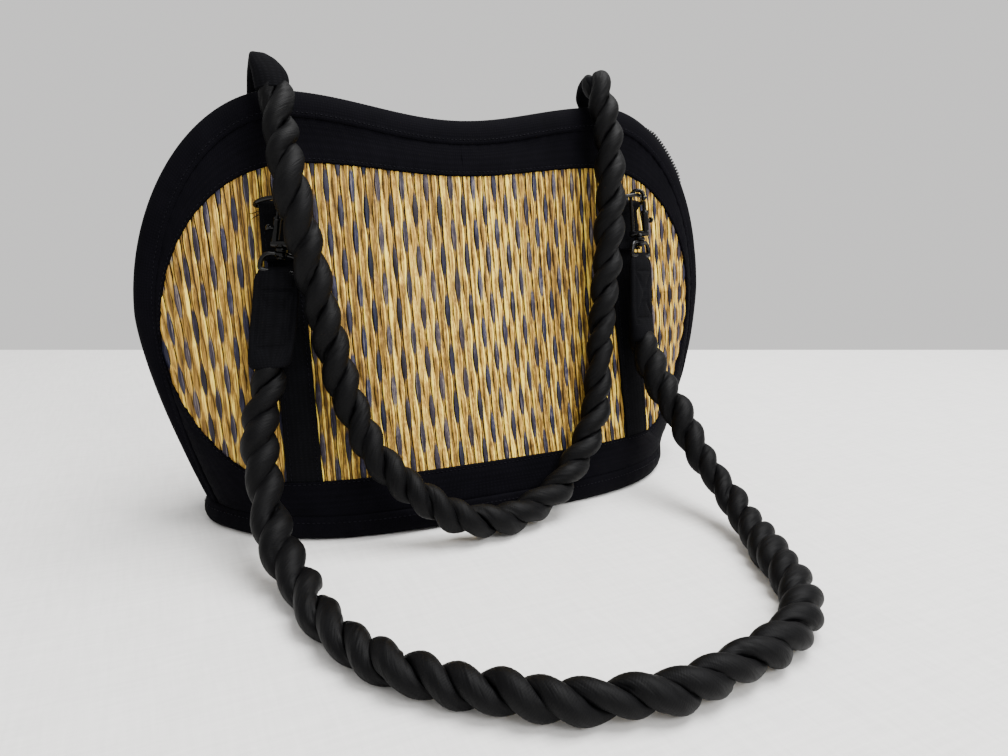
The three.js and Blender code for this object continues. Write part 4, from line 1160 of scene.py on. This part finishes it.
def strap_side(direction):
    def outside(places):
        return np.repeat(np.asarray(direction, float)[None, :], len(places), axis=0)
    return outside


# Strap up the panel, rounded at its edges, with a stitch line along each edge
def band_piece(place):
    across = np.array([-0.02, 0, 0.02, 0.06, 0.13, 0.22, 0.35, 0.5, 0.65, 0.78, 0.87, 0.94, 0.98, 1, 1.02])
    crown = np.array([-0.3, 0.9, 1.35, 1.55, 1.35, 1.6, 1.65, 1.65, 1.65, 1.6, 1.35, 1.55, 1.35, 0.9, -0.3])
    z = np.linspace(REED["bottom"] - 2.5, BAND_TOP_Z + 1, 90)
    start = BAND_INNER_X[place.split("_")[1]]
    x = start + (BAND_OUTER_X - start) * np.clip(across, 0, 1)
    wobble = 0.08 * np.sin(z / 1.3 + np.sin(z / 11))
    lift = crown[None, :] + 0.5 + wobble[:, None] * (np.abs(np.abs(across - 0.5) - 0.37) < 0.05)
    sink = np.clip((REED["bottom"] + 3 - z) / 3, 0, 1)[:, None]
    lift = lift - 0.5 * sink
    rows = on_panel(np.repeat(x[None, :], len(z), axis=0), np.repeat(z[:, None], len(x), axis=1), lift)
    face = place.split("_")[0]
    obj = laid_grid(place + "_strap", to_place(rows, place), panel_side(face), 0.5)
    finished(obj, STRAP_LOOK, replaced=(place + "_band",))
    lines = []
    for share in (0.13, 0.87):
        at = np.full(60, start + (BAND_OUTER_X - start) * share)
        height = np.linspace(REED["bottom"] + 1.5, BAND_TOP_Z - 1, 60)
        lines.append(stitched(on_panel(at, height, 1.95), -inward(at, height), to_place, place, 2.6, 1.8))
    return lines


# Fabric loop folded round the D-ring's bar
def loop_piece(place):
    angle = np.linspace(-2.35, 2.6, 22)
    bar = np.stack([2.2 * np.cos(angle), 2.2 * np.sin(angle)], axis=1)
    under = np.stack([np.linspace(-27, -3.2, 18), np.full(18, -1.75)], axis=1)
    over = np.stack([np.linspace(-3.4, -27, 18), np.full(18, -0.95)], axis=1)
    path = np.concatenate([under, bar, over])
    path = spaced(path, 0.9)
    across = np.linspace(-8.5, 8.5, 19)
    soft = 0.16 * np.cos(np.pi * across / 17) - 0.35 * (np.abs(across) > 7.4)
    origin = RING_ORIGIN + RING_OFF * RING_LIFT
    steps = np.gradient(path, axis=0)
    away = unit(np.stack([steps[:, 1], -steps[:, 0]], axis=1))
    rows = []
    for shift, puff in zip(across, soft):
        spot = path + away * puff
        rows.append(origin + spot[:, :1] * RING_UP + spot[:, 1:] * RING_OFF + RING_OUT * shift)
    rows = np.array(rows)
    obj = laid_grid(place + "_loop_cloth", to_place(rows, place), strap_side((0, 0, 1)))
    applied(obj, "SOLIDIFY", thickness=0.7 * MM, offset=0, use_even_offset=False)
    outward_faces(obj)
    finished(obj, STRAP_LOOK, replaced=(place + "_ring_loop",))
    lines = []
    for shift in (-6.6, 6.6):
        spots = np.stack([np.linspace(-26, -4, 40), np.full(40, -0.55)], axis=1)
        marks = origin + spots[:, :1] * RING_UP + spots[:, 1:] * RING_OFF + RING_OUT * shift
        normals = np.repeat(RING_OFF[None, :], len(marks), axis=0)
        lines.append(stitched(marks, normals, to_place, place, 2.6, 1.8))
    return lines


# Round wire bent along a path and turned to a mesh
def wire_piece(name, points, radius, closed):
    data = bpy.data.curves.new(name, "CURVE")
    data.dimensions = "3D"
    data.bevel_depth = radius * MM
    data.bevel_resolution = 5
    data.use_fill_caps = True
    spline = data.splines.new("POLY")
    spline.points.add(len(points) - 1)
    for knot, point in zip(spline.points, np.asarray(points) * MM):
        knot.co = (*point, 1)
    spline.use_cyclic_u = closed
    obj = bpy.data.objects.new(name, data)
    bpy.context.collection.objects.link(obj)
    chosen(obj)
    bpy.ops.object.convert(target="MESH")
    obj = bpy.context.object
    bpy.ops.object.shade_smooth()
    return obj


def ring_direction(place):
    tilt = math.radians(RING_TILT[place])
    return RING_OFF * math.cos(tilt) + RING_UP * math.sin(tilt)


def ring_piece(place):
    corner = RING_HALF_WIDTH - RING_CORNER
    bend = np.linspace(-np.pi / 2, 0, 7)
    right = np.stack([corner + RING_CORNER * np.cos(bend), RING_CORNER + RING_CORNER * np.sin(bend)], axis=1)
    arch = np.linspace(0, np.pi, 34)[1:-1]
    rise = RING_CORNER + (RING_REACH - RING_CORNER) * np.sin(arch)
    top = np.stack([RING_HALF_WIDTH * np.cos(arch), rise], axis=1)
    left = (right * MIRROR_X)[::-1]
    path = np.concatenate([right, top, left])
    origin = RING_ORIGIN + RING_OFF * RING_LIFT
    points = origin + path[:, :1] * RING_OUT + path[:, 1:] * ring_direction(place)
    obj = wire_piece(place + "_ring", to_place(points, place), RING_WIRE, True)
    outward_faces(obj)
    finished(obj, METAL_LOOK, replaced=(place + "_d_ring",))


# Where a clasp holds the ring, and the jaw's and the eye's axes, the last of each pointing up the clasp
def clasp_frame(place):
    pose = CLASP[place]
    face = place.split("_")[0]
    rise = math.sqrt(1 - (pose["offset"] / RING_HALF_WIDTH) ** 2)
    reach = RING_CORNER + (RING_REACH - RING_CORNER) * rise
    spot = RING_ORIGIN + RING_OFF * RING_LIFT + RING_OUT * pose["offset"] + ring_direction(place) * reach
    sign = 1 if face == "front" else -1
    up = RING_UP * sign + RING_OFF * math.tan(math.radians(pose["lean"]))
    up = unit(up - RING_OUT * math.tan(math.radians(pose["swing"])))
    depth = -unit(RING_OFF - up * RING_OFF.dot(up))
    side = np.cross(depth, up)

    def turned(degrees):
        turn = math.radians(degrees)
        first = side * math.cos(turn) - depth * math.sin(turn)
        return np.stack([first, np.cross(up, first), up])
    return spot, turned(pose["turn"]), turned(pose["eye_turn"])


# Turned metal part: a profile of radius and height spun round its axis, in millimetres
TURNED_SIDES = 24


def turned_part(name, profile, x=0.0):
    bpy.ops.object.select_all(action="DESELECT")
    first = profile[0]
    bpy.ops.mesh.primitive_circle_add(
        vertices=TURNED_SIDES, radius=first[0] * MM, fill_type="NGON", location=(x * MM, 0, first[1] * MM),
    )
    obj = bpy.context.object
    obj.name = name
    bpy.ops.object.transform_apply(location=True, rotation=True, scale=True)
    bpy.ops.object.mode_set(mode="EDIT")
    bpy.ops.mesh.select_all(action="SELECT")
    for before, after in zip(profile, profile[1:]):
        bpy.ops.mesh.extrude_region_move(
            TRANSFORM_OT_translate={"value": (0, 0, (after[1] - before[1]) * MM)},
        )
        scale = after[0] / before[0]
        centre = (x * MM, 0, after[1] * MM)
        bpy.ops.transform.resize(value=(scale, scale, 1), center_override=centre)
    bpy.ops.mesh.select_all(action="SELECT")
    bpy.ops.mesh.normals_make_consistent(inside=False)
    bpy.ops.object.mode_set(mode="OBJECT")
    return obj


def tipped(obj, axis, degrees):
    obj.data.transform(Matrix.Rotation(math.radians(degrees), 4, axis))


def shifted(obj, x, z):
    obj.data.transform(Matrix.Translation((x * MM, 0, z * MM)))


def joined(name, pieces):
    bpy.ops.object.select_all(action="DESELECT")
    for piece in pieces:
        piece.select_set(True)
    bpy.context.view_layer.objects.active = pieces[0]
    bpy.ops.object.join()
    obj = bpy.context.object
    obj.name = name
    obj.data.name = name
    return obj


# A part shaped round its own axes, put on the bag with its place in its mesh
def set_on(obj, spot, axes, place):
    count = len(obj.data.vertices)
    places = np.zeros(3 * count)
    obj.data.vertices.foreach_get("co", places)
    world = places.reshape(-1, 3) @ axes + spot * MM
    obj.data.vertices.foreach_set("co", to_place(world, place).reshape(-1))
    obj.data.update()
    outward_faces(obj)
    chosen(obj)
    bpy.ops.object.shade_smooth_by_angle(angle=math.radians(38))


# Clasp sizes, from the point where its jaw holds the ring
JAW_RADIUS = 3.75
JAW_DROP = 0.9
JAW_WIRE = 1.1
EYE_WIRE = 1.2
SHANK_LOW_Z = -22.2
FOOT_Z = -22.8
KNOB_Z = -15.2


def jaw_wire(name, closed):
    angle = np.linspace(np.pi, 0, 19)
    arch = upright(JAW_RADIUS * np.cos(angle), JAW_RADIUS * np.sin(angle) - JAW_DROP)
    if closed:
        low = [[JAW_RADIUS, 0, -21], [2.6, 0, SHANK_LOW_Z], [-2.6, 0, SHANK_LOW_Z], [-JAW_RADIUS, 0, -21]]
        points = np.concatenate([arch, low])
    else:
        shank = [[-JAW_RADIUS, 0, SHANK_LOW_Z], [-JAW_RADIUS, 0, -12]]
        points = np.concatenate([shank, arch, [[JAW_RADIUS, 0, -2.2]]])
    return wire_piece(name, points, JAW_WIRE, closed)


# Corners of a closed wire rounded off
def softened(knots, rounds):
    for _ in range(rounds):
        after = np.roll(knots, -1, axis=0)
        pairs = np.stack([0.75 * knots + 0.25 * after, 0.25 * knots + 0.75 * after], axis=1)
        knots = pairs.reshape(-1, knots.shape[1])
    return knots


def eye_wire(name):
    knots = np.array([(2.6, -27.7), (6.2, -27.9), (8.4, -29.8), (9.5, -33), (9.4, -36.2), (6, -36.2)])
    knots = softened(np.concatenate([knots, (knots * MIRROR_X)[::-1]]), 3)
    return wire_piece(name, upright(*knots.T), EYE_WIRE, True)


# A slot down the barrel's side for the bolt's knob to slide in
def slotted(barrel, turn):
    bpy.ops.mesh.primitive_cube_add(size=1, location=(1.6 * MM, 0, -17.2 * MM))
    cutter = bpy.context.object
    cutter.scale = (3.2 * MM, 2.2 * MM, 6.2 * MM)
    bpy.ops.object.transform_apply(location=True, rotation=True, scale=True)
    tipped(cutter, "Z", turn)
    shifted(cutter, JAW_RADIUS, 0)
    applied(barrel, "BOOLEAN", operation="DIFFERENCE", object=cutter)
    bpy.data.objects.remove(cutter)


def front_clasp(place):
    spot, jaw, eye = clasp_frame(place)
    turn = CLASP[place]["turn"]
    arm = jaw_wire(place + "_arm", False)
    tip = turned_part("tip", [
        (0.5, -3.65), (1.2, -3.3), (1.5, -2.5), (1.5, -1.9), (1.15, -1.1), (0.6, -0.8),
    ], JAW_RADIUS)
    barrel = turned_part("barrel", [
        (1.5, -22.4), (1.95, -22.1), (2.05, -21.5), (2.05, -11.4), (2.3, -11.1), (2.3, -10.1), (2.05, -9.6),
        (1.5, -9.5), (1.45, -10.5), (1.4, -20.6),
    ], JAW_RADIUS)
    slotted(barrel, turn)
    foot = turned_part("foot", [
        (1.2, -5.7), (1.75, -5.4), (1.95, -4.6), (1.95, 4.6), (1.75, 5.4), (1.2, 5.7),
    ])
    tipped(foot, "Y", 90)
    shifted(foot, 0, FOOT_Z)
    neck = turned_part("neck", [(1.9, -24.7), (2.5, -24.4), (2.5, -23.6), (2.0, -22.9)])
    post = turned_part("post", [(1.6, -30.6), (2.1, -30.3), (2.1, -29.7), (1.15, -29.5), (1.15, -24.6)])
    hook = joined(place + "_snap", [arm, tip, barrel, foot, neck, post])
    set_on(hook, spot, jaw, place)
    finished(hook, METAL_LOOK, replaced=(place + "_hook",))
    rod = turned_part("rod", [(0.8, -16.3), (1.1, -16.1), (1.1, -4.4), (0.8, -4.1)], JAW_RADIUS)
    stem = turned_part("stem", [(0.75, 0), (0.75, 4.2)])
    knob = turned_part("knob", [
        (1.3, 3.6), (1.7, 3.85), (1.75, 4.3), (1.75, 4.7), (1.55, 5.05), (0.8, 5.25), (0.2, 5.3),
    ])
    for part in (stem, knob):
        tipped(part, "Y", 90)
        tipped(part, "Z", turn)
        shifted(part, JAW_RADIUS, KNOB_Z)
    bolt = joined(place + "_catch", [rod, stem, knob])
    set_on(bolt, spot, jaw, place)
    body = place.split("_")[1] + "_bolt"
    finished(bolt, METAL_LOOK, body, replaced=(place + "_bolt",))
    collar = turned_part("collar", [
        (1.7, -29.1), (2.7, -29.1), (3.1, -28.7), (3.1, -27.6), (2.6, -27.1), (3.1, -26.6),
        (3.1, -25.5), (2.6, -25.0), (1.7, -25.0),
    ])
    loop = eye_wire("loop")
    eye_loop = joined(place + "_swivel", [loop, collar])
    set_on(eye_loop, spot, eye, place)
    finished(eye_loop, METAL_LOOK, replaced=(place + "_eye",))


def back_clasp(place):
    spot, jaw, eye = clasp_frame(place)
    link = jaw_wire(place + "_link", True)
    neck = turned_part("neck", [(1.8, -28.4), (2.3, -28.0), (2.3, -23), (1.8, -22.4)])
    loop = eye_wire("loop")
    for part, axes in ((link, jaw), (neck, jaw), (loop, eye)):
        set_on(part, spot, axes, place)
    snap = joined(place + "_snap", [link, neck, loop])
    finished(snap, METAL_LOOK, replaced=(place + "_clasp",))


# Fall of the front tabs, and where and how tightly the back ones fold over the bag's top
TAB_FALL = math.radians(-0.6)
FOLD_START = 18
FOLD_RADIUS = 12
# Top and bottom of the sewn box on a tab, how far its sides stay from the edges, and a distance off all lines
BOX_TOP = 9.0
BOX_LOW = 37.0
BOX_MARGIN = 2.4
FAR_OFF = 9


# Middle line of a tab from the eye's bar to the rope: its place and which way its face looks
def tab_line(place, distance):
    spot, jaw = clasp_frame(place)[:2]
    start = spot + jaw[2] * EYE_LOW_Z
    distance = np.asarray(distance, float)[..., None]
    if place.startswith("front"):
        along = -RING_UP * math.cos(TAB_FALL) - RING_OFF * math.sin(TAB_FALL)
        face = RING_OFF * math.cos(TAB_FALL) - RING_UP * math.sin(TAB_FALL)
        return start + along * distance, face + 0 * distance
    turn = np.clip(distance - FOLD_START, 0, TAB_LENGTH - FOLD_START) / FOLD_RADIUS
    face = RING_OFF * np.cos(turn) + RING_UP * np.sin(turn)
    along = RING_UP * np.cos(turn) - RING_OFF * np.sin(turn)
    middle = start + RING_UP * np.minimum(distance, FOLD_START) - RING_OFF * FOLD_RADIUS
    return middle + face * FOLD_RADIUS + along * np.clip(distance - TAB_LENGTH, 0, None), face


# Padded tab: a fold round the eye, a stuffed strap with sewn lines, and an end that swells over the rope
def tab_piece(place):
    form = np.array(TAB_FORM[place])
    at = np.linspace(0, form[-1, 0], 100)
    half, thick, shift = [smoothed(np.interp(at, form[:, 0], form[:, k]), 7) for k in (1, 2, 3)]
    point, face = tab_line(place, at)
    angle = math.radians(CLASP[place]["eye_turn"])
    around = np.linspace(0, 2 * np.pi, 81)[None, :]
    swollen = np.clip((thick - 6) / 6, 0, 1)[:, None]
    flat = np.sign(np.cos(around)) * np.abs(np.cos(around)) ** (0.55 + 0.45 * swollen)
    crown = np.sign(np.sin(around)) * np.abs(np.sin(around)) ** (0.75 + 0.25 * swollen)
    side = half[:, None] * flat
    along = at[:, None]
    reach = half[:, None] - BOX_MARGIN
    within = np.abs(side) < reach
    in_box = within & (along > BOX_TOP - 0.6) & (along < BOX_LOW + 0.6)
    cross = ((along - BOX_TOP) / (BOX_LOW - BOX_TOP) * 2 - 1) * reach
    lines = np.stack([
        np.where(along < BOX_LOW + 4, np.abs(np.abs(side) - reach), FAR_OFF),
        np.where(within, np.abs(along - BOX_TOP), FAR_OFF),
        np.where(within, np.abs(along - BOX_LOW), FAR_OFF),
        np.where(in_box, np.abs(side - cross) * 0.86, FAR_OFF),
        np.where(in_box, np.abs(side + cross) * 0.86, FAR_OFF),
    ]).min(axis=0)
    pillow = 0.45 - 0.55 * np.exp(-(lines / 2.2) ** 2) - 0.62 * np.exp(-(lines / 0.75) ** 2)
    pillow = pillow + 0.07 * np.sin(along / 1.4 + side / 3) * np.exp(-(lines / 2.5) ** 2)
    if place.startswith("back"):
        pillow = 0.2 * np.sin(along / 2.1 + side / 2.6) + 0.12 * np.sin(along / 0.9 - side / 1.7)
    facing = np.clip(np.abs(crown) * 1.6 - 0.5, 0, 1) * (1 - swollen)
    lift = (thick / 2)[:, None] * crown + np.sign(crown) * facing * pillow
    lift = lift * (0.7 + 0.3 * np.sin(np.clip(along / 5.5, 0, 1) * np.pi / 2))
    wide = side * math.cos(angle) - lift * math.sin(angle) + shift[:, None]
    deep = side * math.sin(angle) + lift * math.cos(angle)
    rows = point[:, None, :] + RING_OUT * wide[..., None] + face[:, None, :] * deep[..., None]
    middle = rows[0].mean(axis=0)
    cap = middle + (rows[0] - middle) * (0.86, 0.6, 0.6) - unit(point[1] - point[0]) * 2.2
    rows = np.concatenate([cap[None], rows])
    centre = rows.mean(axis=(0, 1))

    def outside(places):
        return places - to_place(centre, place)
    obj = laid_grid(place + "_tab_pad", to_place(rows, place), outside, closed=True)
    capped(obj)
    finished(obj, STRAP_LOOK, replaced=(place + "_tab",))


for face in FACES:
    stitches = []
    for side in SIDES:
        place = face + "_" + side
        stitches += band_piece(place)
        stitches += loop_piece(place)
        ring_piece(place)
        if face == "front":
            front_clasp(place)
        else:
            back_clasp(place)
        tab_piece(place)
    sewn(face + "_strap_stitches", stitches)


# Slider low on the zip's right side, its pull hanging to the back: size, middle and edge of each block
SLIDER_BLOCKS = {
    "body": ((10, 8, 1.2), (0, 0, 2.5), 0.5),
    "sole": ((10, 8, 0.9), (0, 0, 0.6), 0.4),
    "post": ((2.4, 2.4, 3), (-3, 0, 1.6), 0.4),
    "bridge": ((4, 3, 1.8), (0, -4, 3), 0.6),
    "pull": ((5, 19, 1.4), (0, -14, 3.2), 0.6),
}


def rounded_block(name, size, centre, edge):
    bpy.ops.object.select_all(action="DESELECT")
    bpy.ops.mesh.primitive_cube_add(size=1)
    obj = bpy.context.object
    obj.name = name
    place = Matrix.Translation([c * MM for c in centre])
    obj.data.transform(place @ Matrix.Diagonal([c * MM for c in size] + [1]))
    applied(obj, "BEVEL", width=edge * MM, segments=3)
    return obj


def slider_piece():
    ridge = arch_outline(RIDGE)
    up = arch_normals(ridge)
    low_right = np.where(ridge[:, 0] > 0)[0]
    at = low_right[np.argmin(np.abs(ridge[low_right, 1] - SLIDER_Z))]
    axes = np.array([(-up[at, 2], 0, up[at, 0]), (0, -1, 0), up[at]])
    spot = hung_out(np.array([ridge[at, 0], 0, ridge[at, 1]]) + up[at] * 1.5)
    blocks = [rounded_block(name, *form) for name, form in SLIDER_BLOCKS.items()]
    obj = joined("zip_pull", blocks)
    set_on(obj, spot, axes, "front_right")
    finished(obj, METAL_LOOK, replaced=("zip_slider",))


slider_piece()


# Loose thread ends on the front panel: two at the left loop, one at the right tab
def loose_threads():
    lines = [
        [(-110.5, 164.6), (-113, 164.8), (-115.4, 163.9), (-117, 163.6)],
        [(-110.5, 163.4), (-113, 163), (-115, 162), (-116.2, 160.9)],
        [(116.5, 92.8), (119.5, 93.1), (122, 92.2), (124, 89.8)],
    ]
    pieces = []
    for line in lines:
        x, z = spaced(np.array(line, float), 0.5).T
        pieces.append(wire_piece("thread", on_panel(x, z, 0.9 + 0.5 * np.sin(x)), 0.17, False))
    finished(joined("loose_threads", pieces), THREAD_LOOK)


loose_threads()


# Table, its far edge square to the camera, and light
TABLE_WIDTH = 3.2
TABLE_DEPTH = 2.6
TABLE_FAR_EDGE = 0.853
bpy.ops.object.select_all(action="DESELECT")
bpy.ops.mesh.primitive_grid_add(x_subdivisions=60, y_subdivisions=60, size=1)
table = bpy.context.object
table.name = "table_top"
ahead = np.array([-math.sin(CAMERA_HEADING), math.cos(CAMERA_HEADING)])
table_place = Matrix.Rotation(CAMERA_HEADING, 4, "Z") @ Matrix.Diagonal((TABLE_WIDTH, TABLE_DEPTH, 1, 1))
middle = np.array(CAMERA_PLACE[:2]) + ahead * (TABLE_FAR_EDGE - TABLE_DEPTH / 2)
table.data.transform(Matrix.Translation((middle[0], middle[1], -0.0002)) @ table_place)
table.data.materials.append(TABLE_LOOK)

world = bpy.data.worlds.new("studio_room")
bpy.context.scene.world = world
world.use_nodes = True
world.node_tree.nodes["Background"].inputs["Color"].default_value = (0.82, 0.81, 0.80, 1)
world.node_tree.nodes["Background"].inputs["Strength"].default_value = 1.1


def soft_light(name, place, aim, size, power):
    data = bpy.data.lights.new(name, "AREA")
    data.shape = "RECTANGLE"
    data.size = size[0]
    data.size_y = size[1]
    data.energy = power
    light = bpy.data.objects.new(name, data)
    light.location = place
    away = np.asarray(place) - np.asarray(aim)
    light.rotation_euler = (math.acos(away[2] / np.linalg.norm(away)), 0, math.atan2(away[0], -away[1]))
    bpy.context.collection.objects.link(light)


soft_light("ceiling_light", (0.45, -0.25, 1.5), (0, -0.05, 0), (1.1, 1.0), 52)
soft_light("front_light", (0.35, -1.5, 1.15), (0, 0, 0.1), (0.9, 0.6), 20)
